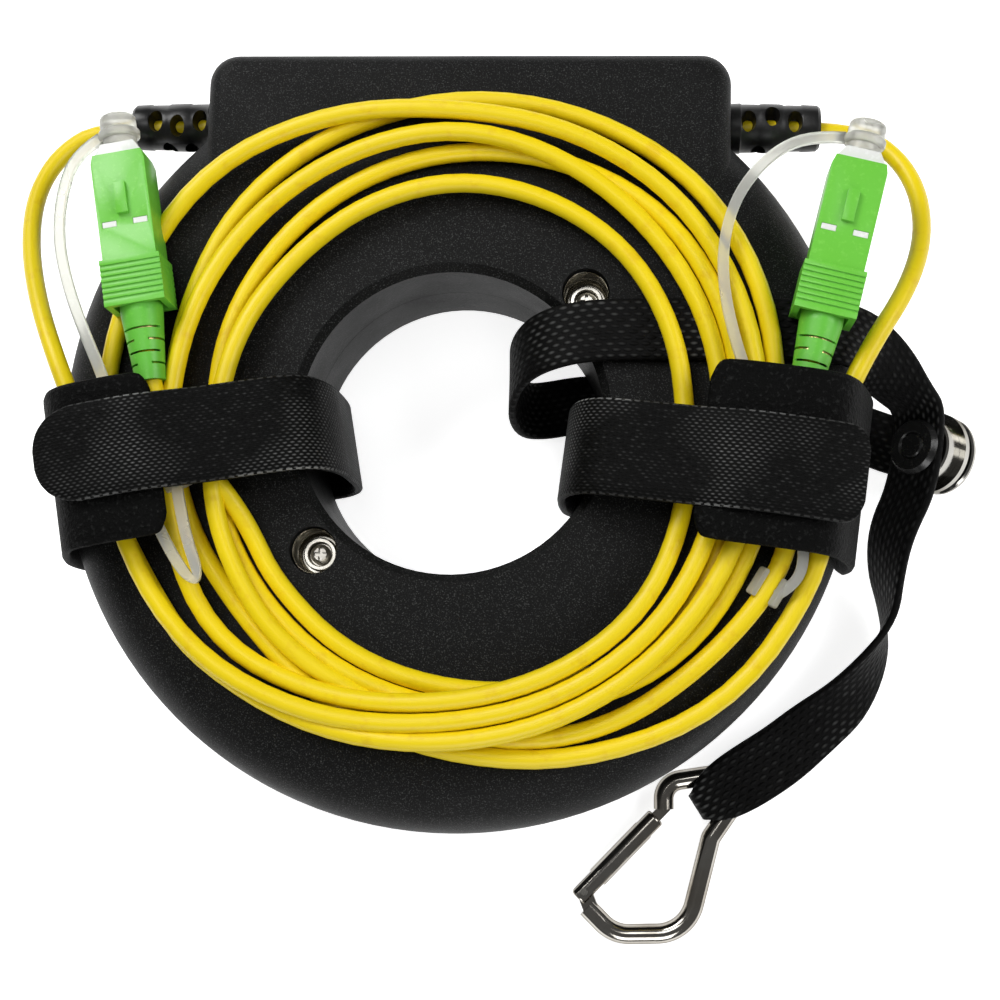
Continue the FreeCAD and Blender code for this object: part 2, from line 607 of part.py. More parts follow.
def trim_ring(body, side, z):
    """Takes off the part of the ring that would stand out over the block's far edge."""
    top, beyond = "ring_radius - block_drop", z("half_thickness + 1")
    path = [(top, z("-1")), (top, z("half_thickness - block_edge")),
            (top + " - block_edge", z("half_thickness"), "block_edge", side),
            (top + " - block_edge", beyond), ("ring_radius + 1", beyond), ("ring_radius + 1", z("-1"))]
    pocket(body, draw(body, "RingTrim", "YZ", path))


def hollow_shell(body, side, z):
    far, roof = "ring_radius - block_drop - wall", "half_thickness - wall"
    channel = [("hole_radius + wall", z("0")), (far, z("0")), (far, z(roof + " - winding_slope")),
               (far + " - winding_slope", z(roof)), ("hole_radius + wall", z(roof))]
    groove(body, draw(body, "Channel", "XZ", channel))
    chamber = box_path("block_shift - block_half_width + wall", "chamber_root",
                       "block_shift + block_half_width - wall", far)
    pocket(body, draw(body, "Chamber", "XY", chamber, offset=z("0")), roof, side > 0)


def pillar_places():
    turn = "boss_turn * 1deg"
    x, y = "boss_pitch * cos(%s)" % turn, "boss_pitch * sin(%s)" % turn
    return [(x, y), ("-" + x, "-" + y)]


def pillars(body, side, z):
    def circles(name, radius, depth):
        rows = [(x, y, radius) for x, y in pillar_places()]
        return draw_circles(body, name, "XY", rows, offset=z(depth))

    pad(body, circles("Pillars", "boss_radius", "seam_gap / 2"), "half_thickness - wall / 2", side < 0)
    if side > 0:
        pocket(body, circles("Wells", "well_radius", "half_thickness"), "well_depth")
        pocket(body, circles("ScrewHoles", "screw_pass", "half_thickness"), "half_thickness + 1")
    else:
        pocket(body, circles("Pilots", "pilot_radius", "0"), "pilot_depth")


def screw_level():
    return "back_lift + 2 * half_thickness - well_depth"


def put_in_well(target, index, level):
    x, y = pillar_places()[index]
    for axis, text in (("x", x), ("y", y), ("z", level)):
        bind(target, "Placement.Base.%s" % axis, text)
    return target


def pair(label, makers):
    """Two separate solids that share one node."""
    group = doc.addObject("Part::Compound", label)
    group.Links = makers
    return keep(group, label)


def make_cup(index):
    path = [("cup_hole", "0"), ("cup_radius", "0"), ("cup_radius", "cup_height"), ("cup_bore", "cup_height"),
            ("cup_bore", "cup_floor"), ("cup_hole", "cup_floor")]
    return put_in_well(turned("Cup%d" % index, path), index, screw_level())


def make_screw(index):
    shank = "(half_thickness - well_depth + cup_floor + screw_hold)"
    path = [("0", "-" + shank), ("shank_radius * 0.4", "-" + shank),
            ("shank_radius", "1 - " + shank), ("shank_radius", "0"), ("head_radius", "0"),
            ("head_radius", "head_height * 0.55"), ("head_radius * 0.62", "head_height"),
            ("0", "head_height")]
    body = turned("Screw%d" % index, path)
    a, b = "cross_width / 2", "cross_length / 2"
    tips = [(b, "-" + a), (b, a), (a, a), (a, b), ("-" + a, b), ("-" + a, a)]
    mirrored = [("-(%s)" % x, "-(%s)" % y) for x, y in tips]
    pocket(body, draw(body, "Cross", "XY", tips + mirrored, offset="head_height"), "cross_depth")
    return put_in_well(body, index, screw_level() + " + cup_floor")


def make_winding():
    low = "back_lift + wall + winding_gap"
    high = "back_lift + 2 * half_thickness - wall - winding_gap"
    r = "winding_slope"
    path = [("winding_inner", low + " + 1"), ("winding_inner + 1", low), ("winding_outer - " + r, low),
            ("winding_outer", low + " + " + r), ("winding_outer", "%s - %s" % (high, r)),
            ("winding_outer - " + r, high), ("winding_inner + 1", high), ("winding_inner", high + " - 1")]
    keep(turned("fibre_winding", path), "fibre_winding")


def make_sleeve(name, start):
    sleeve = doc.addObject("Part::Cylinder", name)
    bind(sleeve, "Radius", "sleeve_radius")
    bind(sleeve, "Height", "sleeve_length")
    bind(sleeve, "Placement.Base.x", start)
    bind(sleeve, "Placement.Base.y", "ring_radius - sleeve_drop")
    bind(sleeve, "Placement.Base.z", "back_lift + wall + winding_gap + sleeve_radius")
    sleeve.Placement.Rotation = FreeCAD.Rotation(vec(0, 1, 0), 90)
    return sleeve


def make_strain_boot(label, side):
    inside = "-(wall + boot_fit + boot_flange_thick)"
    path = [("boot_bore", inside), ("boot_flange", inside), ("boot_flange", "-(wall + boot_fit)"),
            ("boot_neck", "-(wall + boot_fit)"), ("boot_neck", "boot_fit"), ("boot_root", "boot_fit"),
            ("boot_waist", "boot_flare"), ("boot_tip", "boot_length - boot_nose"),
            ("boot_tip - boot_nose_in", "boot_length"), ("boot_bore", "boot_length")]
    body = turned(label, path)
    for row in range(3):
        start = "boot_slot_first + %d * boot_slot_pitch" % row
        window = box_path("-boot_slot_half", start, "boot_slot_half", start + " + boot_slot")
        pocket(body, draw(body, "Window%d" % row, "YZ" if row == 1 else "XZ", window))
    place(body, vec(0, 0, 0), vec(side, 0, 0), Z_AXIS)
    bind(body, "Placement.Base.x", "block_shift + %d * block_half_width" % side)
    bind(body, "Placement.Base.y", "ring_radius - boot_drop")
    bind(body, "Placement.Base.z", "back_lift + half_thickness")
    keep(body, label)


def make_case():
    housing_half("front_shell", 1)
    housing_half("back_shell", -1)
    pair("screw_cups", [make_cup(0), make_cup(1)])
    pair("housing_screws", [make_screw(0), make_screw(1)])
    make_winding()
    pair("splice_sleeves", [make_sleeve("SleeveRight", "sleeve_inset"),
                            make_sleeve("SleeveLeft", "-sleeve_inset - sleeve_length")])
    make_strain_boot("left_strain_boot", -1)
    make_strain_boot("right_strain_boot", 1)


# Straps.

def strap_layers():
    """The strap's inner face and the outer faces of its first and second layer, as closed wires."""
    t, bulge = size("strap_thick"), size("strap_bulge")
    side = size("ring_radius + strap_clear")
    top = size("back_lift + 2 * half_thickness + strap_rise")
    corners = [(side, t, 9.4), (side, top - 3.9, 6), (side - 6.8, top, 12), (side - 18.3, top + 0.5, 40),
               (side - 29.3, top - 1.2, 20), (bulge + 4.6, top - 2.4, 5), (bulge, top - 12.4, 8),
               (bulge, t + 9.6, 8), (bulge + 1.2, t, 4.2)]
    inner = closed_loop(corners)
    wires = [inner, inner.makeOffset2D(t), inner.makeOffset2D(2 * t)]
    if Part.Face(wires[1]).Area < Part.Face(inner).Area:
        wires = [inner, inner.makeOffset2D(-t), inner.makeOffset2D(-2 * t)]
    return wires


def strap_band(inner, outer, width):
    face = Part.Face(outer).cut(Part.Face(inner))
    face.translate(vec(0, -width / 2, 0))
    return face.extrude(vec(0, width, 0))


def strap_patch(start, end, low, width, corner, at_start):
    """Upright block that cuts a strap layer to its plan, with two corners rounded at one end."""
    block = Part.makeBox(end - start, width, STRAP_REACH, vec(start, -width / 2, low))
    place_u = start if at_start else end
    upright = [e for e in block.Edges if all(abs(v.X - place_u) < 1e-6 for v in e.Vertexes)
               and abs(e.Vertexes[0].Z - e.Vertexes[1].Z) > 1]
    return block.makeFillet(corner, upright)


def make_strap(label, side):
    inner, first, second = strap_layers()
    width, head_width = size("strap_width"), size("strap_head")
    band = strap_band(inner, first, width)
    head_start, tail_start = size(side + "_head_start"), size("strap_tail_start")
    head_plan = strap_patch(head_start, head_start + STRAP_REACH, size("strap_head_low"), head_width,
                            size("strap_head_corner"), True)
    head = strap_band(inner, first, head_width).common(head_plan)
    head.translate(vec(0, size("strap_head_shift"), 0))
    tail_plan = strap_patch(tail_start, size("strap_tail_end"), size("strap_head_low"), width,
                            size(side + "_tail_corner"), False)
    tail = strap_band(first, second, width).common(tail_plan)
    strap = band.fuse([head, tail]).removeSplitter()
    piece = shape_piece(label, strap.Solids[0])
    turn = FreeCAD.Rotation(Z_AXIS, size(side + "_strap_turn"))
    piece.Placement = FreeCAD.Placement(vec(0, 0, 0), turn)
    bind(piece, "Placement.Base.x", "-{0}_strap_shift * sin({0}_strap_turn * 1deg)".format(side))
    bind(piece, "Placement.Base.y", "{0}_strap_shift * cos({0}_strap_turn * 1deg)".format(side))


# Leads.

def run_middle(rows, run):
    first, last = points_of([rows[run[0]], rows[run[1]]])
    return (first + last) * 0.5, (last - first).normalize()


def make_coil():
    """One closed ring for the coil, relieved for the webbing and for the tether's collar."""
    low = size("back_lift + 2 * half_thickness + coil_rest")
    centre = vec(size("coil_x"), size("coil_y"), low)
    height = size("coil_height")
    coil = Part.makeCylinder(size("coil_outer"), height, centre)
    coil = coil.cut(Part.makeCylinder(size("coil_inner"), height, centre))
    outside = [e for e in coil.Edges if len(e.Vertexes) == 1]
    coil = coil.makeChamfer(size("coil_bevel"), outside)
    corner = vec(size("web_relief_x"), size("web_relief_y"), low)
    relief = [size("web_relief_" + name) for name in ("length", "width", "height")]
    coil = coil.cut(Part.makeBox(*relief, corner))
    middle, along = run_middle(LEFT_TAIL, LEFT_TIE_RUN)
    start = middle - along * (TIE_RELIEF_LENGTH / 2)
    coil = coil.cut(Part.makeCylinder(size("tie_radius + tie_relief"), TIE_RELIEF_LENGTH, start, along))
    shape_piece("lead_coil", coil.Solids[0])


def make_leads():
    make_coil()
    radius = size("lead_radius")
    for label, rows in (("left_lead_loop", LEFT_LOOP), ("right_lead_loop", RIGHT_LOOP),
                        ("left_lead_tail", LEFT_TAIL), ("right_lead_tail", RIGHT_TAIL)):
        shape_piece(label, tube(label, points_of(rows), radius))


# Connectors, built along their own Z axis with the grip's rear at zero.

def plug_level():
    return "back_lift + 2 * half_thickness + plug_rise"


def plug_axes(side):
    turn = math.radians(size(side + "_turn"))
    origin = vec(size(side + "_x"), size(side + "_y"), size(plug_level()))
    return origin, vec(math.cos(turn), math.sin(turn), 0)


def on_plug(body, side, piece):
    origin, nose = plug_axes(side)
    place(body, origin, nose, Z_AXIS)
    bind(body, "Placement.Base.x", side + "_x")
    bind(body, "Placement.Base.y", side + "_y")
    bind(body, "Placement.Base.z", plug_level())
    return keep(body, "%s_%s" % (side, piece))


def centred_box(width, height):
    return box_path("-%s / 2" % width, "-%s / 2" % height, "%s / 2" % width, "%s / 2" % height)


def slope_nose(body, part, end):
    """Cuts a sloping flat off each side of a nose."""
    half = part + "_width / 2"
    tips = [("%s - %s_nose_in" % (half, part), end), (half, end), (half, "%s - %s_nose_back" % (end, part))]
    mirrored = [("-(%s)" % x, z) for x, z in tips]
    pocket(body, draw(body, "NoseSlopes", "XZ", tips, mirrored))


def make_grip(side):
    body = new_body(side + "_grip")
    pad(body, draw(body, "Nose", "XY", centred_box("grip_width", "grip_height")), "grip_length")
    pad(body, draw(body, "Collar", "XY", centred_box("collar_width", "collar_height")), "collar_length")
    face = "grip_height / 2"
    key = box_path("-key_width / 2", face + " - key_sink", "key_width / 2", face + " + key_height")
    pad(body, draw(body, "Key", "XY", key, offset="key_start"), "key_length")
    bore = centred_box("(frame_width + 2 * frame_fit)", "(frame_height + 2 * frame_fit)")
    pocket(body, draw(body, "Bore", "XY", bore), "grip_length", True)
    recess = draw_circles(body, "Recess", "XY", [("0", "0", "grip_recess")])
    pocket(body, recess, "grip_recess_depth", True)
    peeps = [box_path(inner, "peep_start", outer, "peep_start + peep_length")
             for inner, outer in (("peep_inner", "peep_outer"), ("-peep_outer", "-peep_inner"))]
    pocket(body, draw(body, "Peeps", "XZ", *peeps, offset="-grip_height"), "grip_height", True)
    grooves = []
    for row in range(RIB_COUNT):
        start = "rib_first + %d * rib_pitch" % row
        for low, high in (("collar_height / 2 - rib_depth", "collar_height"),
                          ("-collar_height", "rib_depth - collar_height / 2")):
            grooves.append(box_path(low, start, high, start + " + rib_width"))
    pocket(body, draw(body, "FingerGrooves", "YZ", *grooves))
    slope_nose(body, "grip", "grip_length")
    on_plug(body, side, "grip")


def make_plug_frame(side):
    body = new_body(side + "_plug_frame")
    outside = draw(body, "Outside", "XY", centred_box("frame_width", "frame_height"), offset="frame_start")
    pad(body, outside, "frame_end - frame_start")
    nose = draw_circles(body, "NoseBore", "XY", [("0", "0", "frame_bore")], offset="frame_end")
    pocket(body, nose, "frame_end - web_end")
    rear = draw_circles(body, "RearBore", "XY", [("0", "0", "frame_rear_bore")], offset="frame_start")
    pocket(body, rear, "web_start - frame_start", True)
    web = draw_circles(body, "WebHole", "XY", [("0", "0", "web_hole")], offset="web_end")
    pocket(body, web, "web_end - web_start")
    slope_nose(body, "frame", "frame_end")
    on_plug(body, side, "plug_frame")


def make_plug_core(side):
    """The turned pieces inside and behind the plug."""
    holder = "web_start - ferrule_stop"
    ferrule = [("0", "ferrule_seat"), ("ferrule_holder", "ferrule_seat"), ("ferrule_holder", holder),
               ("ferrule_radius", holder), ("ferrule_radius", "ferrule_tip - ferrule_chamfer"),
               ("ferrule_radius - ferrule_chamfer / 2", "ferrule_tip"), ("0", "ferrule_tip")]
    on_plug(turned(side + "_ferrule", ferrule), side, "ferrule")
    spring = box_path("spring_inner", "stop_nose + spring_gap", "spring_outer", "ferrule_seat - spring_gap")
    on_plug(turned(side + "_ferrule_spring", spring), side, "ferrule_spring")
    nose = "frame_rear_bore - stop_fit"
    stop = [("stop_bore", "-stop_rear"), ("stop_stem", "-stop_rear"), ("stop_stem", "stop_flange_start"),
            ("stop_flange", "stop_flange_start"), ("stop_flange", "frame_start - stop_fit"),
            (nose, "frame_start - stop_fit"), (nose, "stop_nose"), ("stop_bore", "stop_nose")]
    on_plug(turned(side + "_stop_body", stop), side, "stop_body")
    inner = "stop_stem + crimp_fit"
    crimp = box_path(inner, "-stop_rear", inner + " + crimp_wall", "-crimp_nose")
    on_plug(turned(side + "_crimp_sleeve", crimp), side, "crimp_sleeve")


def make_connector_boot(side):
    wide = "stop_stem + 2 * crimp_fit + crimp_wall"
    narrow = "lead_radius + lead_fit"
    path = [(narrow, "-cboot_length"), ("cboot_tip", "-cboot_length"), ("cboot_root", "-cboot_shoulder"),
            ("cboot_root", "cboot_nose"), (wide, "cboot_nose"), (wide, "-cboot_step"),
            (narrow, "-cboot_step")]
    body = turned(side + "_connector_boot", path)
    for row in range(4):
        start = "-(cboot_slit_first + %d * cboot_slit_pitch + cboot_slit)" % row
        end = start + " + cboot_slit"
        slits = [box_path("cboot_bridge", start, "cboot_root + 1", end),
                 box_path("-(cboot_root + 1)", start, "-cboot_bridge", end)]
        pocket(body, draw(body, "Slits%d" % row, "XZ" if row % 2 else "YZ", *slits))
    on_plug(body, side, "connector_boot")


def make_dust_cap(side):
    flange = "frame_end + cap_gap"
    neck = flange + " + cap_flange_thick"
    head = neck + " + cap_neck_length"
    path = [("cap_bore", "cap_shank_start"), ("cap_shank", "cap_shank_start"), ("cap_shank", flange),
            ("cap_flange", flange), ("cap_flange", neck), ("cap_neck", neck), ("cap_neck", head),
            ("cap_head", head), ("cap_head", head + " + cap_head_length - cap_rounding"),
            ("cap_head - cap_rounding", head + " + cap_head_length", "cap_rounding", 1),
            ("0", head + " + cap_head_length"), ("0", "cap_bore_end"), ("cap_bore", "cap_bore_end")]
    on_plug(turned(side + "_dust_cap", path), side, "dust_cap")


def run_at(points, index):
    """Heading of a strip at one of its points, from the points before and after."""
    return (points[min(index + 1, len(points) - 1)] - points[max(index - 1, 0)]).normalize()


def strip_section(points, index, across, width, thick):
    """Rectangular section of a flat strip, square to its run."""
    along = run_at(points, index)
    across = (across - along * across.dot(along)).normalize()
    half_width, half_thick = across * (width / 2), along.cross(across) * (thick / 2)
    p = points[index]
    corners = [p - half_width - half_thick, p + half_width - half_thick,
               p + half_width + half_thick, p - half_width + half_thick]
    return Part.makePolygon(corners + corners[:1])


def strip_stretches(sections):
    return [Part.makeLoft(list(ends), True, True) for ends in zip(sections, sections[1:])]


def ring_on(origin, along, start, length, outer, inner):
    base = origin + along * start
    return Part.makeCylinder(outer, length, base, along).cut(Part.makeCylinder(inner, length, base, along))


def make_tether(side, rows, lead, run):
    """Eye on the cap, strip and collar on the lead, one moulding."""
    origin, nose = plug_axes(side)
    start = size("frame_end + cap_gap + cap_flange_thick + eye_gap")
    length = size("cap_neck_length - 2 * eye_gap")
    eye = ring_on(origin, nose, start, length, size("eye_radius"), size("eye_bore"))
    middle, along = run_middle(lead, run)
    half = size("tie_length") / 2
    tie = ring_on(middle, along, -half, 2 * half, size("tie_radius"), size("tie_bore"))
    points, width, thick = points_of(rows), size("tether_width"), size("tether_thick")
    strip = strip_stretches([strip_section(points, i, Z_AXIS.cross(run_at(points, i)), width, thick)
                             for i in range(len(points))])
    bore = Part.makeCylinder(size("tie_bore"), 4 * half, middle - along * 2 * half, along)
    neck = Part.makeCylinder(size("eye_bore"), 3 * length, origin + nose * (start - length), nose)
    shape = eye.fuse(strip + [tie]).cut(bore).cut(neck)
    shape_piece(side + "_cap_tether", shape.Solids[0])


def make_connectors():
    for side in ("left", "right"):
        make_grip(side)
        make_plug_frame(side)
        make_plug_core(side)
        make_connector_boot(side)
        make_dust_cap(side)
    make_tether("left", LEFT_TETHER, LEFT_TAIL, LEFT_TIE_RUN)
    make_tether("right", RIGHT_TETHER, RIGHT_TAIL, RIGHT_TIE_RUN)


# Lanyard, press stud and carabiner.

def stud_origin():
    return vec(size("stud_x"), size("stud_y"), size("stud_z"))


def make_lanyard():
    """Webbing lofted through its sections, pierced at the stud and with a sewn eye round the rod."""
    axis = vec(*STUD_AXIS).normalize()
    pierced = Part.makeCylinder(size("stud_pierce"), 12, stud_origin() - axis * 2, axis)
    points = points_of(LANYARD, LANYARD_TURN)
    width, thick = size("web_width"), size("web_thick")
    stretches = strip_stretches([strip_section(points, i, vec(*row[3:6]), row[6] * width, row[7] * thick)
                                 for i, row in enumerate(LANYARD)])
    for row in STUD_ROWS:
        stretches[row] = stretches[row].cut(pierced)
    webbing = stretches[0].fuse(stretches[1:])
    start, end, height = EYE_POCKET
    heading = vec(EYE_HEADING[0], EYE_HEADING[1], 0)
    slot = Part.makeBox(end - start, 20, height, vec(start, -10, -height / 2))
    across = Z_AXIS.cross(heading)
    slot.Placement = FreeCAD.Placement(vec(EYE_APEX[0], EYE_APEX[1], size("rod_z")),
                                       FreeCAD.Rotation(heading, across, Z_AXIS, "ZXY"))
    total = sum(stretch.Volume for stretch in stretches)
    print("lanyard_webbing: volume %.3f of its stretches" % (webbing.Volume / total))
    shape_piece("lanyard_webbing", webbing.cut(slot).Solids[0])


def on_stud(body):
    axis = vec(*STUD_AXIS).normalize()
    place(body, stud_origin(), axis, vec(0, 1, 0).cross(axis).cross(axis).normalize() * -1)
    for name in ("x", "y", "z"):
        bind(body, "Placement.Base." + name, "stud_" + name)
    return keep(body, body.Label)


def make_press_stud():
    """Back disc and ball below, socket and cap above, with the webbing clamped between each two."""
    back = "stud_back_thick / 2"
    post = back + " + web_thick + 2 * stud_gap"
    socket = post + " + stud_flange_thick + stud_gap"
    upper = socket + " + stud_socket_thick"
    cap = upper + " + web_thick + 2 * stud_gap"
    on_stud(turned("press_stud_back", [
        ("0", "-" + back), ("stud_back_radius - 3 * stud_edge", "-" + back), ("stud_back_radius", "0"),
        ("stud_back_radius", back + " - stud_edge"), ("stud_back_radius - stud_edge", back),
        ("stud_shank", back), ("stud_shank", post), ("0", post)]))
    ball = socket + " + stud_ball_height"
    on_stud(turned("press_stud_post", [
        ("0", post + " + stud_gap"), ("stud_flange", post + " + stud_gap"),
        ("stud_flange", post + " + stud_flange_thick"),
        ("stud_ball - stud_edge", post + " + stud_flange_thick"), ("stud_ball", ball + " - 2 * stud_edge"),
        ("stud_ball - stud_edge", ball), ("0", ball)]))
    roof = upper + " - stud_flange_thick"
    on_stud(turned("press_stud_socket", [
        ("stud_ball + stud_ball_fit", socket), ("stud_socket_radius", socket),
        ("stud_socket_radius", upper + " - stud_edge"), ("stud_socket_radius - stud_edge", upper),
        ("0", upper), ("0", roof), ("stud_ball + stud_ball_fit", roof)]))
    top = cap + " + stud_cap_thick"
    on_stud(turned("press_stud_cap", [
        ("0", upper + " + stud_gap"), ("stud_shank", upper + " + stud_gap"), ("stud_shank", cap),
        ("stud_cap_radius - stud_edge", cap), ("stud_cap_radius", cap + " + stud_edge"),
        ("stud_cap_radius - 2 * stud_edge", top), ("stud_cap_ring + stud_edge", top),
        ("stud_cap_ring", top + " - stud_edge"), ("stud_cap_ring - stud_edge", top), ("0", top)]))


def carabiner_placement():
    """The rod's own plane: level at the webbing and lying down towards the gate."""
    heading = vec(EYE_HEADING[0], EYE_HEADING[1], 0)
    apex = vec(EYE_APEX[0], EYE_APEX[1], 0)
    tilt = FreeCAD.Rotation(Z_AXIS.cross(heading), size("rod_tilt"))
    lift = FreeCAD.Placement(vec(0, 0, size("rod_z")), FreeCAD.Rotation())
    return lift * FreeCAD.Placement(apex - tilt.multVec(apex), tilt)


def gate_way():
    turn = math.radians(size("gate_turn"))
    return vec(size("gate_x"), size("gate_y"), 0), vec(math.cos(turn), math.sin(turn), 0)


def bar(start, end, half_width, half_thick):
    """Flat bar between two points of the carabiner's plane."""
    along = (end - start).normalize()
    across = Z_AXIS.cross(along) * half_width
    corners = [start - across, end - across, end + across, start + across]
    wire = Part.makePolygon(corners + corners[:1])
    wire.translate(vec(0, 0, -half_thick))
    return Part.Face(wire).extrude(vec(0, 0, 2 * half_thick))


def make_carabiner_body():
    points = [vec(x, y, 0) for x, y, radius in ROD_PATH]
    rod = tube("carabiner_body", points, size("rod_radius"), [row[2] for row in ROD_PATH])
    hinge, along = gate_way()
    nose = points[0]
    tongue = bar(nose + along * size("tongue_root"), nose - along * size("tongue_reach"), size("tongue_side"),
                 size("tongue_half"))
    root = points[-1] + (points[-2] - points[-1]) * size("plate_root")
    plate = bar(root, hinge, size("plate_side"), size("plate_half"))
    boss = Part.makeCylinder(size("plate_side"), 2 * size("plate_half"), hinge - Z_AXIS * size("plate_half"))
    hole = Part.makeCylinder(size("pin_radius + pin_fit / 2"), 6, hinge - Z_AXIS * 3)
    shape = rod.fuse([tongue, plate, boss]).cut(hole).removeSplitter()
    piece = shape_piece("carabiner_body", shape.Solids[0])
    piece.Placement = carabiner_placement()


def make_gate():
    hinge, along = gate_way()
    radius, bore = size("gate_radius"), size("gate_bore")
    back, length = size("gate_back"), size("gate_length")
    gate = Part.makeCylinder(radius, back + length, hinge - along * back, along)
    rim = [e for e in gate.Edges if e.Closed and len(e.Vertexes) == 1]
    gate = gate.makeFillet(size("gate_rim"), rim)
    gate = gate.cut(Part.makeCylinder(bore, length - 1.2 * size("nose_slot"), hinge, along))
    gate = gate.cut(bar(hinge - along * 5, hinge + along * size("gate_ear"), 5, size("gate_ear_gap")))
    tip = hinge + along * length
    gate = gate.cut(bar(tip - along * size("nose_slot"), tip + along * 3, 5, size("nose_slot_half")))
    hole = Part.makeCylinder(size("pin_radius + pin_fit"), 8, hinge - Z_AXIS * 4)
    shape_piece("carabiner_gate", gate.cut(hole).Solids[0]).Placement = carabiner_placement()
    half = radius - size("pin_inset")
    pin = Part.makeCylinder(size("pin_radius"), 2 * half, hinge - Z_AXIS * half)
    shape_piece("gate_pin", pin).Placement = carabiner_placement()
    outer = bore - size("pin_fit")
    spring = ring_on(hinge, along, size("gate_ear + gspring_start"), size("gspring_length"), outer,
                     outer - size("gspring_wall"))
    shape_piece("gate_spring", spring).Placement = carabiner_placement()


def check_and_export():
    doc.recompute()
    for item in doc.Objects:
        if "Invalid" in item.State or "Error" in item.State:
            raise RuntimeError("%s is %s" % (item.Label, item.State))
    os.makedirs("parts", exist_ok=True)
    to_middle = vec(0, size("block_drop / 2"), 0)
    for piece in PIECES:
        shape = piece.Shape.translated(to_middle)
        if shape.isNull() or not shape.isValid() or shape.Volume <= 0:
            raise RuntimeError("bad shape in " + piece.Label)
        shape.exportStep("parts/%s.step" % piece.Label)
        print("%s: %d solid(s), %.1f mm3" % (piece.Label, len(shape.Solids), shape.Volume))


fill_sheet()
make_case()
for strap_side in ("left", "right"):
    make_strap(strap_side + "_strap", strap_side)
make_leads()
make_connectors()
make_lanyard()
make_press_stud()
make_carabiner_body()
make_gate()
check_and_export()
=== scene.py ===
import json
import math
from functools import partial

import bmesh
import bpy
from mathutils import Matrix, Vector


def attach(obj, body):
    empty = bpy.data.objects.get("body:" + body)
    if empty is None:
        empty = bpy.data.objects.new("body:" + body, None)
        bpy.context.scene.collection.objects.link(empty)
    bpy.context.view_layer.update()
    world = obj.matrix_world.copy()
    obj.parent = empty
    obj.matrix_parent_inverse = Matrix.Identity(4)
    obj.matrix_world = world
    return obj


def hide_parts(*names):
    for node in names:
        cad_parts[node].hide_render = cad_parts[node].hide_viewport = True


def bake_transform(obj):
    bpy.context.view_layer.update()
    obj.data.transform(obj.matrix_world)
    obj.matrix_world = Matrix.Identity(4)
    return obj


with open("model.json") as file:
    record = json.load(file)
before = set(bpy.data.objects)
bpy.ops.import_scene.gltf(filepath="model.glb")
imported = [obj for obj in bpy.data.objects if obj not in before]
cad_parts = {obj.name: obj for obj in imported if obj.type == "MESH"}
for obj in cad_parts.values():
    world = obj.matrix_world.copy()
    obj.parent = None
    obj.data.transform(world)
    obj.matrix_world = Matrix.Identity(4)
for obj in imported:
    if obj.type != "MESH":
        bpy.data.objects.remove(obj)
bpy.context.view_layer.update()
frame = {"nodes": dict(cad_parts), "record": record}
NODES = frame["nodes"]

bl_info = {
    "name": "Launch Fibre Ring",
    "version": (1, 0, 0),
    "blender": (4, 5, 0),
    "location": "View3D > Sidebar > Launch Ring",
    "description": "Leads, straps, lanyard and finishes of a ring-shaped launch fibre case",
    "category": "Object",
}

# Routes and places in millimetres from the ring's axis, near those of the part's source, which draws the
# turns as one plain ring. RING_AXIS is that axis in the shared frame.
MM = 0.001
RING_AXIS = Vector((0, 0.0018, 0))
UP = Vector((0, 0, 1))
LEFT_LOOP = [
    (-41.7, 53.1, 15.6), (-62.8, 53.1, 15.6), (-69.6, 48.4, 17), (-72.8, 40.4, 19.8), (-72, 30.5, 23.8),
    (-68.6, 20, 28.4), (-63.8, 9.5, 32.2), (-58.2, -2.5, 33), (-52.8, -16, 32.4), (-45.4, -29, 31.8),
]
RIGHT_LOOP = [
    (43.7, 53.1, 15.6), (64.2, 53.1, 15.6), (71.4, 48.6, 17.1), (75, 41, 20.2), (75, 31.5, 24.6),
    (71.6, 22, 29.2), (65.6, 12.5, 32.2), (60.2, 1.5, 32.8), (58.6, -10, 32.5),
]
RIGHT_TAIL = [
    (47.6, -29.5, 32.4), (52, -22, 32.9), (53.4, -14.5, 34), (53.3, -7.5, 35), (53.65, -0.96, 35.5),
    (55.89, 8.69, 35.5),
]
LEFT_TAIL = [(-34.3, -13, 33), (-38.5, -8, 34.6), (-45.86, -0.53, 35.5), (-47.63, 9.21, 35.5)]

# Turns of the two leads on the front face: angle in degrees, radius and height.
LEFT_TURNS = [
    (225, 53.5, 31.2), (270, 50.3, 34.4), (315, 49, 34.3), (360, 48, 33.8), (405, 49.8, 32.8),
    (450, 48.9, 34.4), (495, 56.4, 32), (540, 55, 31.3), (585, 53.3, 34.3), (630, 47.2, 34.4),
    (675, 45.8, 34.3), (720, 42.5, 32.8), (765, 43.3, 32.6), (810, 46, 34.4), (855, 45.2, 32.4),
    (900, 43.5, 34.3), (945, 49.8, 32), (990, 44.1, 34.4), (1035, 42.4, 34.3), (1080, 36.5, 32.8),
    (1125, 38.1, 32.5), (1170, 38, 32.4), (1215, 35.7, 32), (1260, 36, 34.3), (1305, 42.1, 33.8),
    (1320, 43.7, 32.7), (1335, 45.2, 31.4), (1350, 48, 31.2), (1365, 51.8, 31.2), (1380, 53.9, 31.2),
    (1395, 54.9, 31.3),
]
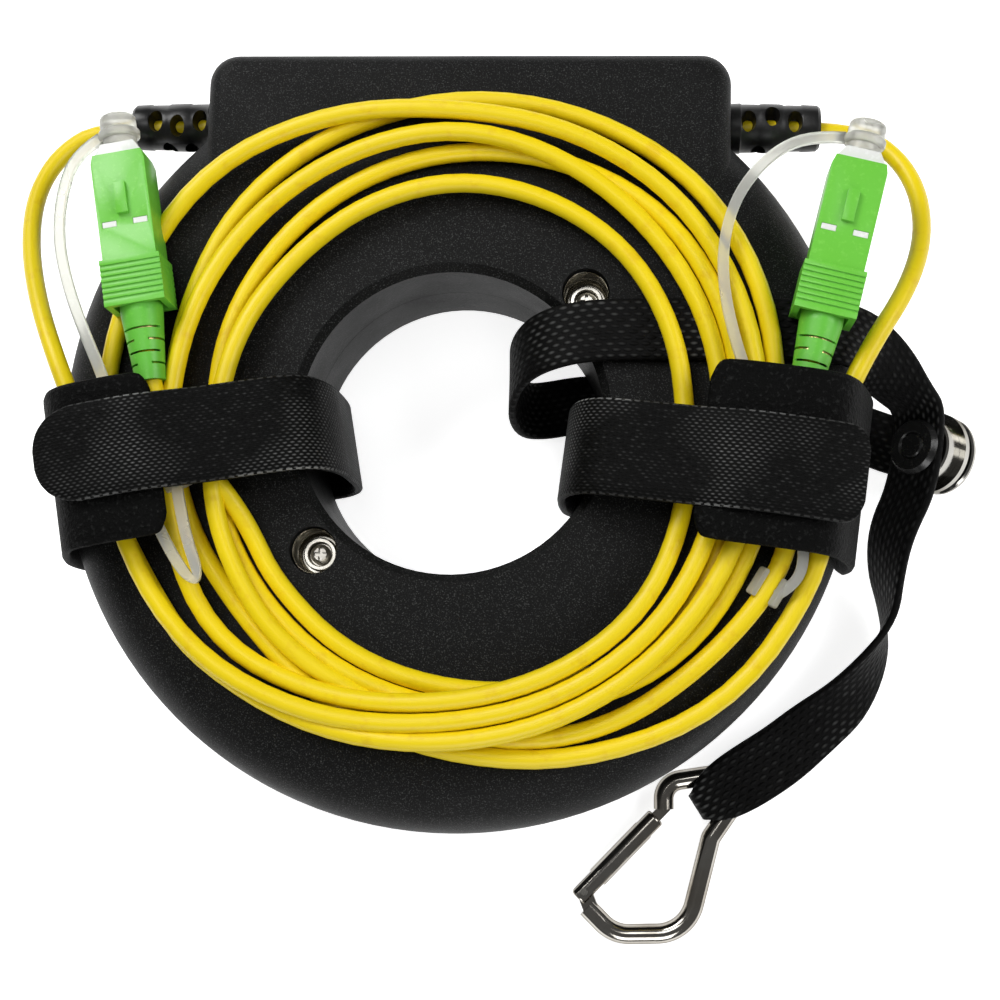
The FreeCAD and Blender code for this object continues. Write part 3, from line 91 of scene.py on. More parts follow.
RIGHT_TURNS = [
    (337.5, 61.3, 32), (315, 61.2, 31.5), (270, 51.4, 31.2), (225, 43.9, 31.2), (180, 44.2, 31.2),
    (157.5, 45.7, 31.2), (135, 48.8, 31.2), (90, 52, 31.2), (45, 54, 31.8), (22.5, 52.6, 32.9),
    (0, 50.5, 31.8), (-45, 51.4, 31.2), (-90, 44.9, 31.2), (-135, 40.4, 31.2), (-180, 37, 31.2),
    (-225, 39.7, 31.2), (-270, 43.3, 31.2), (-315, 46.6, 31.8), (-337.5, 46, 32.9), (-360, 45.3, 31.8),
    (-405, 48.2, 31.2), (-450, 41.8, 31.2), (-495, 37.2, 31.2), (-510, 35.8, 31.4),
]
# Largest angle between two drawn points of a turn, in degrees.
TURN_STEP = 22.5

LEFT_TETHER = [
    (-57.05, 44, 35.5), (-60.8, 41.4, 35.8), (-62.7, 35, 36), (-62.9, 27.5, 36), (-61, 20, 36),
    (-57.8, 12.3, 36.2), (-54.4, 5.5, 36.4), (-51.2, -3, 36.5), (-48, -10.5, 36.6), (-44.6, -17.6, 36.7),
    (-41.6, -22.9, 36.7), (-39.3, -26, 36.7), (-37.7, -26.9, 36.6), (-37.6, -25.2, 36.6),
    (-39.4, -20.6, 36.6), (-40.7, -15.8, 36.7), (-41.6, -11.4, 36.8),
]
RIGHT_TETHER = [
    (61.06, 44.34, 35.5), (55.6, 44.6, 36), (49.5, 41.5, 36.2), (44.6, 35.5, 36.2), (42.3, 28, 36),
    (42.4, 20, 35.9), (44.5, 11, 35.9), (47.6, 2.5, 36.1), (50.5, -6.5, 36.9), (53.6, -14.5, 37),
    (55, -20.6, 36), (54, -25.4, 34.6), (50.9, -27, 33.2),
]
# Collar of each tether: its middle, the lead's direction there and its opening in degrees.
LEFT_COLLAR = ((-42.1, -10, 34.6), (3, -6, -0.8), 0)
RIGHT_COLLAR = ((49.8, -25.75, 32.65), (-4.4, -7.5, -0.5), 80)
# Rings of a tether: inside and outside radius, length and round of the corners.
EYE_RING = (1.65, 3.3, 1.4, 0.4)
COLLAR_RING = (1.65, 2.7, 4.6, 0.4)
# Plugs: middle of the grip's rear and heading in degrees.
PLUGS = {"left": ((-48.9, 16.2, 35.5), 100.3), "right": ((57.5, 15.6, 35.5), 76.9)}
# Grip's rear to the tether's eye.
EYE_ALONG = 28.8
# White inlay of a grip: size and the middle of the right-hand one, across, up and along the plug.
INLAY = ((2.29, 0.56, 0.94), (2.475, 3.26, 13.2))
INLAY_EDGE = 0.08
GRIP_EDGE = 0.28
FRAME_EDGE = 0.22

# Screw wells: their places, the height of their floor and the profile of the deep cup in each.
WELLS = [(21.07, 21.07), (-21.07, -21.07)]
WELL_FLOOR = 21.1
CUP_PROFILE = [
    (0.02, 1.3), (0.02, 3.7), (6.7, 3.7), (7, 3.56), (6.8, 3.42), (1.1, 3.36), (0.55, 3.05), (0.55, 2.75),
    (1.65, 2.7), (2, 2.5), (2, 2.05), (1.7, 1.86), (0.55, 1.84), (0.55, 1.3),
]

# Strain boots: the wall that each leaves, the place of their axis, the lead's way out of them and their
# profile from the wall outwards.
BOOT_WALLS = {"left": (-42, -1), "right": (44, 1)}
BOOT_AXIS = (53.1, 15.6)
BOOT_PROFILE = [
    (-2, 1.58), (-2, 2.9), (0.06, 2.9), (0.06, 3.7), (0.5, 4.1), (2.1, 4.18), (2.35, 4.02), (5.2, 3.98),
    (5.5, 4.1), (9, 4.02), (9.3, 3.86), (12.2, 3.8), (12.5, 3.92), (14.9, 3.8), (15.4, 3.4), (15.4, 1.58),
]
# Scoops, in opposite pairs: distance from the wall and angle from the viewer's side towards the block.
# Each has the same half sizes and its middle at the same radius.
BOOT_SCOOPS = [(3.4, 0), (7.3, -14), (11.1, 0), (5.3, 92), (9.2, 92)]
SCOOP = (1.9, 3.4, 1.25)
SCOOP_RADIUS = 4.1

# Lanyard: centre, direction across and half width.
LANYARD = [
    (83.38, -1.79, 10.13, -0.228, -0.967, -0.112, 5), (75.24, 1.16, 1.25, -0.228, -0.967, -0.112, 5),
    (70.5, 2.9, 0.85, -0.25, -0.97, 0, 5), (66, 4.6, 0.78, -0.25, -0.97, 0, 5),
    (45, 7.6, 0.78, -0.16, -0.99, 0, 5), (27, 8.5, 0.78, -0.04, -1, 0, 5), (20.5, 8.4, 0.7, 0, -1, 0, 5),
    (13.6, 6.3, 3.9, 0, -1, 0.05, 5), (10.2, 5.6, 8.6, 0, -1, 0, 5), (8.8, 7.4, 15, 0, -1, 0, 5),
    (9.4, 10.2, 21, 0, -1, 0, 5), (12, 12.2, 26.6, 0, -1, 0, 5), (16.4, 13.4, 30.6, 0, -1, 0, 5),
    (22.5, 14.6, 30.7, 0, -1, 0, 5), (34, 14.8, 30.5, 0, -1, 0, 5), (46, 15, 30.5, 0.05, -1, 0, 5),
    (55.5, 14.9, 30.5, 0.04, -1, 0, 5), (61.6, 14.9, 28.8, -0.02, -1, -0.04, 5),
    (65.4, 14.4, 25.4, -0.12, -0.98, -0.15, 5), (68.2, 12.9, 21.4, -0.3, -0.83, -0.45, 5),
    (70.9, 10.8, 17.4, -0.5, -0.58, -0.62, 5), (73.6, 8.6, 13.6, -0.6, -0.25, -0.75, 5),
    (77.06, 6.08, 10.56, -0.684, 0.08, -0.725, 5), (75.54, -6.43, 10.61, -0.684, 0.08, -0.725, 5),
    (72, -14.2, 9.6, -0.62, 0.12, -0.77, 5), (71.3, -21, 8.4, -0.42, 0.1, -0.9, 5),
    (72, -27.6, 7, -0.1, 0.02, -0.99, 5), (70.4, -34.5, 5.4, 0.42, -0.16, -0.89, 5),
    (66, -42, 3.6, 0.7, -0.5, -0.5, 5), (60, -47, 2.9, 0.68, -0.72, -0.12, 5),
    (55, -51.2, 4.1, 0.547, -0.837, 0, 5.2), (50, -54.5, 5.3, 0.547, -0.837, 0, 5.3),
    (46.4, -56.8, 5.5, 0.547, -0.837, 0, 5.1), (43.2, -58.9, 5.6, 0.547, -0.837, 0, 4.4),
    (41.1, -60.3, 4.9, 0.547, -0.837, 0, 2.4), (41.1, -60.3, 1, 0.547, -0.837, 0, 2.4),
    (45.4, -57.5, 0.62, 0.547, -0.837, 0, 3.6), (50, -54.5, 0.63, 0.547, -0.837, 0, 4.6),
    (55, -51.2, 1.2, 0.547, -0.837, 0, 4.9), (59, -47.9, 1.4, 0.66, -0.75, -0.06, 4.8),
]
LANYARD_HALF_THICK = 0.6

# Strap in its own plane, from head to tail: distance from the ring's axis, height, share of the half width
# and offset along its width. The head's first rows count from the head's start.
STRAP_HEAD = [(0, 38.4, 0.8, 1.5), (0.4, 38.8, 0.95, 1.5), (1.8, 39.2, 1, 1.5)]
STRAP_WRAP = [
    (50, 39.5, 1, 1.5), (55.5, 39.3, 1, 1.5), (59.6, 38.3, 1, 1.5), (61.7, 35.6, 1, 1.5),
    (63.3, 31, 1, 1.5), (65.2, 25, 1, 1.5), (66.1, 19, 1, 1.5), (66.1, 12.6, 1, 1.5),
    (65.9, 9.6, 0.98, 1.5), (65.2, 7, 0.89, 1.2), (64.2, 5, 0.68, 0.5), (62.6, 3.2, 0.55, 0),
]
STRAP_BAND = [
    (58, 0.75, 1, 0), (52, 0.72, 1, 0), (38, 0.72, 1, 0), (25, 0.72, 1, 0), (21.2, 0.72, 1, 0),
    (19.3, 3.4, 1, 0), (18.7, 9, 1, 0), (18.7, 17, 1, 0), (18.9, 25, 1, 0), (20.4, 31.8, 1, 0),
    (23.4, 36, 1, 0), (29, 37.3, 1, 0), (36, 38.2, 1, 0), (41, 39.4, 1, 0), (46, 41, 1, 0),
    (51, 41.2, 1, 0), (56, 40.9, 1, 0),
]
STRAP_TAILS = {
    "left": [
        (58, 40.5, 0.98, 0), (60.4, 40.1, 0.88, 0), (62.2, 39.6, 0.7, 0), (63.3, 39.2, 0.45, 0),
        (63.6, 39, 0.2, 0),
    ],
    "right": [(60.8, 40.1, 1, 0), (62.6, 39.6, 0.96, 0), (63.8, 39.3, 0.8, 0), (64.2, 39.1, 0.55, 0)],
}
STRAP_HALF = 7.6
# Heading of each strap, its offset along its own width, the start of its head and the head's half width.
STRAP_PLACES = {"left": (190.6, -2.65, 45, 12.9), "right": (-6.5, -2.1, 40, 13.9)}
# Section of a flat strip with rounded edges, as shares of its half width and half thickness.
SECTION_TOP = [
    (-0.985, 0.6), (-0.94, 1), *((0.24 * step, 1) for step in range(-3, 4)), (0.94, 1), (0.985, 0.6),
]
FLAT_SECTION = [(-1, 0), *SECTION_TOP, (1, 0), *((share, -height) for share, height in reversed(SECTION_TOP))]

# Meshing: steps of a curve and of its round section, merging distances in metres and angles in degrees.
CURVE_STEPS = 5
MERGE = 0.000002
SEAM_MERGE = 0.000005
TURNED_ANGLE = 40
MOULDED_ANGLE = 32
FLAT_ANGLE = 2
BEVEL_ANGLE = 35

# Grain of a moulding: where its spots and handled patches start, and how fast they rise.
SPOT_RISE = (0.56, 7.0)
PATCH_RISE = (0.35, 2.4)
# Weave: fall of a dash across and along it, fineness and lift of its hairs, half width of a stitch in
# metres, stitches to a dash, the part of a stitch that shows, the rise of the areas with painted glints,
# and the shares of the painted glints on single dashes, in those areas and on the stitches.
DASH_FALL = (6.5, 6.0)
HAIR_SCALE = 5200.0
HAIR_LIFT = 0.3
STITCH_HALF = 0.00013
STITCH_RATE = 0.75
STITCH_PART = 0.62
GLINT_AREA_RISE = (0.5, 6.0)
GLINT_SHARES = (0.25, 0.75)
STITCH_GLINT_SHARES = (0.85, 0.15)

# Moulded finishes: colour, roughness, colour of the spots and fineness of the grain.
MOULDED = {
    "boot_black": ((0.006, 0.006, 0.006), 0.36, (0.014, 0.014, 0.014), 900.0),
    "wound_fibre": ((0.55, 0.6, 0.62), 0.35, (0.75, 0.78, 0.78), 1200.0),
    "splice_clear": ((0.7, 0.74, 0.76), 0.25, (0.8, 0.83, 0.84), 500.0),
    "frame_white": ((0.78, 0.79, 0.76), 0.35, (0.86, 0.87, 0.85), 1200.0),
    "ferrule_white": ((0.86, 0.85, 0.82), 0.12, (0.9, 0.89, 0.86), 1800.0),
    "cap_silicone": ((0.84, 0.84, 0.78), 0.32, (0.9, 0.9, 0.85), 700.0),
    "stud_black": ((0.012, 0.012, 0.012), 0.3, (0.03, 0.03, 0.028), 1400.0),
}
# Metal finishes: colour, roughness, colour of the dull patches, fineness and strength of the marks.
POLISHED = {
    "screw_steel": ((0.62, 0.6, 0.55), 0.26, (0.4, 0.38, 0.34), 300.0, 0.02),
    "cup_metal": ((0.6, 0.58, 0.53), 0.2, (0.42, 0.4, 0.35), 300.0, 0.02),
    "spring_steel": ((0.5, 0.49, 0.47), 0.3, (0.36, 0.35, 0.33), 900.0, 0.12),
    "stop_metal": ((0.62, 0.6, 0.56), 0.3, (0.45, 0.43, 0.4), 900.0, 0.12),
    "crimp_brass": ((0.72, 0.52, 0.24), 0.3, (0.55, 0.37, 0.15), 900.0, 0.12),
    "stud_chrome": ((0.46, 0.45, 0.42), 0.14, (0.3, 0.29, 0.27), 900.0, 0.12),
    "rod_chrome": ((0.5, 0.48, 0.44), 0.13, (0.3, 0.27, 0.23), 900.0, 0.12),
}
# Values of single finishes beyond those of their kind.
EXTRAS = {
    "case_black": {"Specular_IOR_Level": 0.11},
    "boot_black": {"Specular_IOR_Level": 0.35},
    "lead_yellow": {"Specular_IOR_Level": 0.35},
    "cap_silicone": {"Transmission_Weight": 0.7, "IOR": 1.41},
    "strap_fabric": {"Specular_IOR_Level": 0.09},
    "strap_pile": {"Specular_IOR_Level": 0.06},
    "webbing_fabric": {"Specular_IOR_Level": 0.1},
}

# Stage, in metres and watts: place, target, side and power of each lamp, the camera's place and turn, and
# the floor and room.
LAMPS = {
    "key_panel": ((-0.4, 0.5, 0.62), (0, 0, 0.02), 0.45, 5.4),
    "ceiling_panel": ((-0.06, 0.1, 0.66), (-0.01, 0, 0.02), 0.2, 0.5),
    "fill_panel": ((0.62, 0.12, 0.5), (0, 0, 0.02), 0.4, 2.7),
    "front_panel": ((0.05, -0.65, 0.45), (0, 0, 0.02), 0.4, 2.1),
}
CAMERA_PLACE = (0.02644, -0.04439, 0.28753)
CAMERA_TURN = (0.13089, 0.06697, 0.02584)
FLOOR_LEVEL = -0.0002
FLOOR_COLOUR = (0.86, 0.86, 0.86, 1)
FLOOR_GLOW = 0.8
ROOM_LIGHT = 0.12


class LaunchRingLeads(bpy.types.PropertyGroup):
    diameter: bpy.props.FloatProperty(
        name="Lead diameter", description="Outside of the lead's jacket", default=0.003, unit="LENGTH")
    colour: bpy.props.FloatVectorProperty(
        name="Lead colour", description="Jacket colour", default=(0.83, 0.63, 0.005), size=3, subtype="COLOR")
    tether_width: bpy.props.FloatProperty(
        name="Tether width", description="Width of the dust cap's strip", default=0.00175, unit="LENGTH")
    tether_thickness: bpy.props.FloatProperty(
        name="Tether thickness", description="Thickness of the dust cap's strip", default=0.0011,
        unit="LENGTH")


class LaunchRingTextiles(bpy.types.PropertyGroup):
    strap_thickness: bpy.props.FloatProperty(
        name="Strap thickness", description="One layer of a strap", default=0.0014, unit="LENGTH")
    weave_pitch: bpy.props.FloatProperty(
        name="Weave pitch", description="Pitch of the lanyard's weave along it", default=0.0019,
        unit="LENGTH")


class LaunchRingFinish(bpy.types.PropertyGroup):
    case_colour: bpy.props.FloatVectorProperty(
        name="Case colour", description="Moulded shells", default=(0.0042, 0.0044, 0.0043), size=3,
        subtype="COLOR")
    plug_colour: bpy.props.FloatVectorProperty(
        name="Plug colour", description="Connector grips and boots", default=(0.15, 0.55, 0.05), size=3,
        subtype="COLOR")


class LaunchRingStage(bpy.types.PropertyGroup):
    floor_size: bpy.props.FloatProperty(
        name="Floor size", description="Side of the floor", default=30.0, unit="LENGTH")
    lens: bpy.props.FloatProperty(name="Lens", description="Focal length in millimetres", default=59.8)


# Materials by slot, filled by the first operator.
FINISHES = {}


# Small helpers.

def metres(point):
    return RING_AXIS + Vector(point) * MM


def settings(group):
    return getattr(bpy.context.scene, "launch_ring_" + group)


def only(item):
    """Selects one object and makes it active."""
    bpy.ops.object.select_all(action="DESELECT")
    item.select_set(True)
    bpy.context.view_layer.objects.active = item


def apply_modifier(item, kind, **values):
    only(item)
    modifier = item.modifiers.new(kind.title(), kind)
    for key, value in values.items():
        setattr(modifier, key, value)
    bpy.ops.object.modifier_apply(modifier=modifier.name)


def join_loose(item):
    """Merges a mesh's doubled points and turns its faces outwards."""
    only(item)
    bpy.ops.object.mode_set(mode="EDIT")
    bpy.ops.mesh.select_all(action="SELECT")
    bpy.ops.mesh.remove_doubles(threshold=MERGE)
    bpy.ops.mesh.normals_make_consistent(inside=False)
    bpy.ops.object.mode_set(mode="OBJECT")


def smooth(item, degrees):
    """Smooth shading, with edges kept where faces meet at more than an angle."""
    only(item)
    bpy.ops.object.shade_smooth_by_angle(angle=math.radians(degrees))


def link(item):
    bpy.context.scene.collection.objects.link(item)
    return item


def copy_to(pattern, name, place):
    """A copy of a modelled piece with its own mesh, set in its place."""
    item = link(bpy.data.objects.new(name, pattern.data.copy()))
    item.data.transform(place)
    return item


def discard(item):
    mesh = item.data
    bpy.data.objects.remove(item)
    bpy.data.meshes.remove(mesh)


def aimed(middle, along):
    """Matrix that sets a piece made about Z at a place, with its axis along a direction."""
    return Matrix.Translation(middle) @ Vector(along).to_track_quat("Z", "Y").to_matrix().to_4x4()


def facing(middle, out):
    """Matrix with Y up and Z along a level direction, at a place."""
    return Matrix.Translation(middle) @ Matrix((UP.cross(out), UP, out)).transposed().to_4x4()


def run_at(places, index):
    """Direction of a line of places near one of them."""
    return places[min(index + 1, len(places) - 1)] - places[max(index - 1, 0)]


# Routes and flat strips.

def route(name, points, radius=0.0):
    """A smooth NURBS curve led by the route's points, with a round section where it has a radius."""
    curve = bpy.data.curves.new(name, "CURVE")
    curve.dimensions = "3D"
    curve.resolution_u = CURVE_STEPS
    spline = curve.splines.new("NURBS")
    spline.points.add(len(points) - 1)
    for point, place in zip(spline.points, points):
        point.co = (*place, 1)
    spline.order_u = 3
    spline.use_endpoint_u = True
    curve.bevel_depth = radius
    curve.bevel_resolution = CURVE_STEPS
    curve.use_fill_caps = True
    return link(bpy.data.objects.new(name, curve))


def route_points(points):
    """Points read from the route's own spline."""
    guide = route("guide", points)
    mesh = bpy.data.meshes.new_from_object(guide)
    places = [vertex.co.copy() for vertex in mesh.vertices]
    curve = guide.data
    bpy.data.objects.remove(guide)
    bpy.data.curves.remove(curve)
    bpy.data.meshes.remove(mesh)
    return places


def length_of(places):
    return sum((b - a).length for a, b in zip(places, places[1:]))


def flat_strip(name, rows, section):
    """A strip with a flat section, from rows of centre, half width vector and half thickness."""
    left = route_points([centre - across for centre, across, _ in rows])
    right = route_points([centre + across for centre, across, _ in rows])
    thick = [place.x for place in route_points([Vector((half, 0, 0)) for *_, half in rows])]
    centres = [(a + b) / 2 for a, b in zip(left, right)]
    mesh = bmesh.new()
    layer = mesh.loops.layers.uv.new("strip")
    rings = []
    along = 0.0
    for index, centre in enumerate(centres):
        if index:
            along += (centre - centres[index - 1]).length
        across = (right[index] - left[index]) / 2
        lift = run_at(centres, index).cross(across).normalized() * thick[index]
        ring = [(mesh.verts.new(centre + across * s + lift * h), s * across.length) for s, h in section]
        rings.append((ring, along))
    around = len(section)
    for (ring, low), (after, high) in zip(rings, rings[1:]):
        for k in range(around):
            n = (k + 1) % around
            corners = [(ring[k], low), (ring[n], low), (after[n], high), (after[k], high)]
            face = mesh.faces.new([item[0] for item, _ in corners])
            for loop, (item, distance) in zip(face.loops, corners):
                loop[layer].uv = (item[1], distance)
            face.smooth = True
    for ring, distance in (rings[0], rings[-1]):
        face = mesh.faces.new([item[0] for item in ring])
        for loop, item in zip(face.loops, ring):
            loop[layer].uv = (item[1], distance)
    bmesh.ops.recalc_face_normals(mesh, faces=mesh.faces)
    data = bpy.data.meshes.new(name)
    mesh.to_mesh(data)
    mesh.free()
    return link(bpy.data.objects.new(name, data)), centres


def turn_points(stations):
    """Points of the coil's turns, drawn outwards a little because the spline runs inside them."""
    points = []
    for station, following in zip(stations, stations[1:] + stations[-1:]):
        sweep = following[0] - station[0]
        steps = max(1, round(abs(sweep) / TURN_STEP))
        gain = 1 / math.cos(math.radians(abs(sweep) / steps / 2))
        for step in range(steps):
            angle, radius, height = (a + (b - a) * step / steps for a, b in zip(station, following))
            turn = math.radians(angle)
            points.append((radius * gain * math.cos(turn), radius * gain * math.sin(turn), height))
    return points


def ring_band(name, sizes, opening=0.0):
    """A moulded ring: a rounded section spun round Z, with an opening in degrees on its upper side."""
    inner, outer, length, corner = (value * MM for value in sizes)
    bpy.ops.object.select_all(action="DESELECT")
    bpy.ops.mesh.primitive_plane_add(size=1, location=(0, 0, 0))
    item = bpy.context.object
    item.name = name
    bpy.ops.object.mode_set(mode="EDIT")
    bpy.ops.mesh.select_all(action="SELECT")
    bpy.ops.transform.resize(value=(outer - inner, length, 1))
    bpy.ops.mesh.bevel(offset=corner, segments=4, affect="VERTICES")
    bpy.ops.transform.rotate(value=math.pi / 2, orient_axis="X", center_override=(0, 0, 0))
    bpy.ops.transform.translate(value=((outer + inner) / 2, 0, 0))
    bpy.ops.mesh.delete(type="ONLY_FACE")
    bpy.ops.mesh.select_all(action="SELECT")
    bpy.ops.mesh.spin(steps=40, angle=math.tau - math.radians(opening), center=(0, 0, 0), axis=(0, 0, 1))
    bpy.ops.mesh.select_all(action="SELECT")
    bpy.ops.mesh.remove_doubles(threshold=SEAM_MERGE)
    bpy.ops.mesh.fill_holes(sides=0)
    bpy.ops.object.mode_set(mode="OBJECT")
    item.data.transform(Matrix.Rotation(math.radians(90 - opening / 2), 4, "Z"))
    join_loose(item)
    smooth(item, TURNED_ANGLE)
    return item


def turned_tube(name, rows, around=56):
    """A turned piece about Z, drawn out ring by ring from rows of height and radius in millimetres."""
    bpy.ops.object.select_all(action="DESELECT")
    height, radius = rows[0]
    bpy.ops.mesh.primitive_circle_add(vertices=around, radius=radius * MM, location=(0, 0, height * MM))
    item = bpy.context.object
    item.name = name
    bpy.ops.object.transform_apply(location=True, rotation=False, scale=False)
    bpy.ops.object.mode_set(mode="EDIT")
    bpy.ops.mesh.select_all(action="SELECT")
    for (low, before), (high, after) in zip(rows, rows[1:] + rows[:1]):
        bpy.ops.mesh.extrude_region_move(TRANSFORM_OT_translate={"value": (0, 0, (high - low) * MM)})
        grow = after / before
        bpy.ops.transform.resize(value=(grow, grow, 1), center_override=(0, 0, high * MM))
    bpy.ops.object.mode_set(mode="OBJECT")
    join_loose(item)
    return item


def scoop(place, half):
    """A rounded cutter with its own half sizes."""
    bpy.ops.object.select_all(action="DESELECT")
    bpy.ops.mesh.primitive_uv_sphere_add(segments=32, ring_count=16, radius=MM)
    item = bpy.context.object
    bpy.ops.object.mode_set(mode="EDIT")
    bpy.ops.mesh.select_all(action="SELECT")
    bpy.ops.transform.resize(value=half, center_override=(0, 0, 0))
    bpy.ops.object.mode_set(mode="OBJECT")
    item.data.transform(place)
    return item


def cut(item, cutter):
    apply_modifier(item, "BOOLEAN", object=cutter, operation="DIFFERENCE", solver="EXACT")
    discard(cutter)


def plug_frame(side):
    """Matrix of a plug: across, up and along its nose, from the middle of its grip's rear."""
    origin, heading = PLUGS[side]
    nose = Vector((math.cos(math.radians(heading)), math.sin(math.radians(heading)), 0))
    return facing(metres(origin), nose)


# Shader groups.

def new_group(name, inputs, outputs):
    group = bpy.data.node_groups.new(name, "ShaderNodeTree")
    for label, kind, value in inputs:
        socket = group.interface.new_socket(label, in_out="INPUT", socket_type=kind)
        if value is not None:
            socket.default_value = value
    for label, kind in outputs:
        group.interface.new_socket(label, in_out="OUTPUT", socket_type=kind)
    return group, group.nodes.new("NodeGroupInput"), group.nodes.new("NodeGroupOutput")


def math_node(tree, operation, first, second=None, clamp=False):
    node = tree.nodes.new("ShaderNodeMath")
    node.operation = operation
    node.use_clamp = clamp
    for socket, value in zip(node.inputs, (first, second)):
        if isinstance(value, bpy.types.NodeSocket):
            tree.links.new(value, socket)
        elif value is not None:
            socket.default_value = value
    return node.outputs[0]


def noise(tree, vector, scale, detail=2.0, rough=0.5):
    node = tree.nodes.new("ShaderNodeTexNoise")
    tree.links.new(vector, node.inputs["Vector"])
    for label, value in (("Scale", scale), ("Detail", detail), ("Roughness", rough)):
        if isinstance(value, bpy.types.NodeSocket):
            tree.links.new(value, node.inputs[label])
        else:
            node.inputs[label].default_value = value
    return node.outputs["Fac"]


def above(tree, value, rise):
    """A mask that rises from 0 where a value passes a start, up to 1."""
    start, gain = rise
    return math_node(tree, "MULTIPLY", math_node(tree, "SUBTRACT", value, start), gain, clamp=True)


def speckle_group():
    """Fine moulded grain with broad patches of handling."""
    group, start, end = new_group(
        "moulded_grain",
        [("Vector", "NodeSocketVector", None), ("Grain", "NodeSocketFloat", 2400.0),
         ("Patch", "NodeSocketFloat", 70.0)],
        [("Height", "NodeSocketFloat"), ("Spots", "NodeSocketFloat"), ("Patches", "NodeSocketFloat")])
    vector, grain, patch = start.outputs[:3]
    fine = noise(group, vector, grain, 3.0, 0.6)
    broad = noise(group, vector, patch, 3.0, 0.55)
    group.links.new(fine, end.inputs["Height"])
    group.links.new(above(group, fine, SPOT_RISE), end.inputs["Spots"])
    group.links.new(above(group, broad, PATCH_RISE), end.inputs["Patches"])
    return group


def weave_group():
    """Staggered raised dashes in rows along the strip, with a line of stitches near each edge, and masks of
    painted glints: on random dashes and in broad areas, and on the stitches.
    """
    group, start, end = new_group(
        "woven_rows",
        [("Vector", "NodeSocketVector", None), ("Along", "NodeSocketFloat", 0.00145),
         ("Across", "NodeSocketFloat", 0.0007), ("Edge", "NodeSocketFloat", 0.0069),
         ("Patch", "NodeSocketFloat", 60.0)],
        [("Height", "NodeSocketFloat"), ("PaintedGlint", "NodeSocketFloat"), ("StitchGlint", "NodeSocketFloat")])
    vector, pitch, spacing, edge, patch = start.outputs[:5]
    calc = partial(math_node, group)
    split = group.nodes.new("ShaderNodeSeparateXYZ")
    group.links.new(vector, split.inputs[0])
    row = calc("DIVIDE", split.outputs[0], spacing)
    odd = calc("FLOORED_MODULO", calc("FLOOR", row), 2.0)
    run = calc("DIVIDE", split.outputs[1], pitch)
    run = calc("ADD", run, calc("MULTIPLY", odd, 0.5))
    side = calc("SUBTRACT", calc("FRACT", row), 0.5)
    ahead = calc("SUBTRACT", calc("FRACT", run), 0.5)
    beside = calc("MULTIPLY", calc("POWER", side, 2.0), DASH_FALL[0])
    beyond = calc("MULTIPLY", calc("POWER", ahead, 2.0), DASH_FALL[1])
    dash = calc("SUBTRACT", 1.0, calc("ADD", beside, beyond), clamp=True)
    off = calc("SUBTRACT", calc("ABSOLUTE", split.outputs[0]), edge)
    line = calc("LESS_THAN", calc("ABSOLUTE", off), STITCH_HALF)
    shown = calc("LESS_THAN", calc("FRACT", calc("MULTIPLY", run, STITCH_RATE)), STITCH_PART)
    stitch = calc("MULTIPLY", line, shown)
    hair = noise(group, vector, HAIR_SCALE, 2.0, 0.6)
    height = calc("ADD", dash, calc("MULTIPLY", hair, HAIR_LIFT))
    group.links.new(calc("MAXIMUM", height, stitch), end.inputs["Height"])
    cell = group.nodes.new("ShaderNodeCombineXYZ")
    group.links.new(calc("FLOOR", row), cell.inputs[0])
    group.links.new(calc("FLOOR", run), cell.inputs[1])
    chance = group.nodes.new("ShaderNodeTexWhiteNoise")
    group.links.new(cell.outputs[0], chance.inputs["Vector"])
    # Broad areas and random dashes where glints are painted on the weave's dashes.
    glint_area = above(group, noise(group, vector, patch), GLINT_AREA_RISE)
    single = calc("MULTIPLY", calc("POWER", chance.outputs["Value"], 2.0), GLINT_SHARES[0])
    glint_amount = calc("ADD", single, calc("MULTIPLY", glint_area, GLINT_SHARES[1]))
    # Mask of the painted glints that lighten the dashes' colour.
    painted_glint = calc("MULTIPLY", calc("POWER", dash, 2.0), glint_amount, clamp=True)
    group.links.new(painted_glint, end.inputs["PaintedGlint"])
    # The stitch line is a real stitch; its light tint is a painted glint, strongest in the glinting areas.
    share = calc("ADD", calc("MULTIPLY", glint_area, STITCH_GLINT_SHARES[0]), STITCH_GLINT_SHARES[1])
    group.links.new(calc("MULTIPLY", stitch, share), end.inputs["StitchGlint"])
    return group


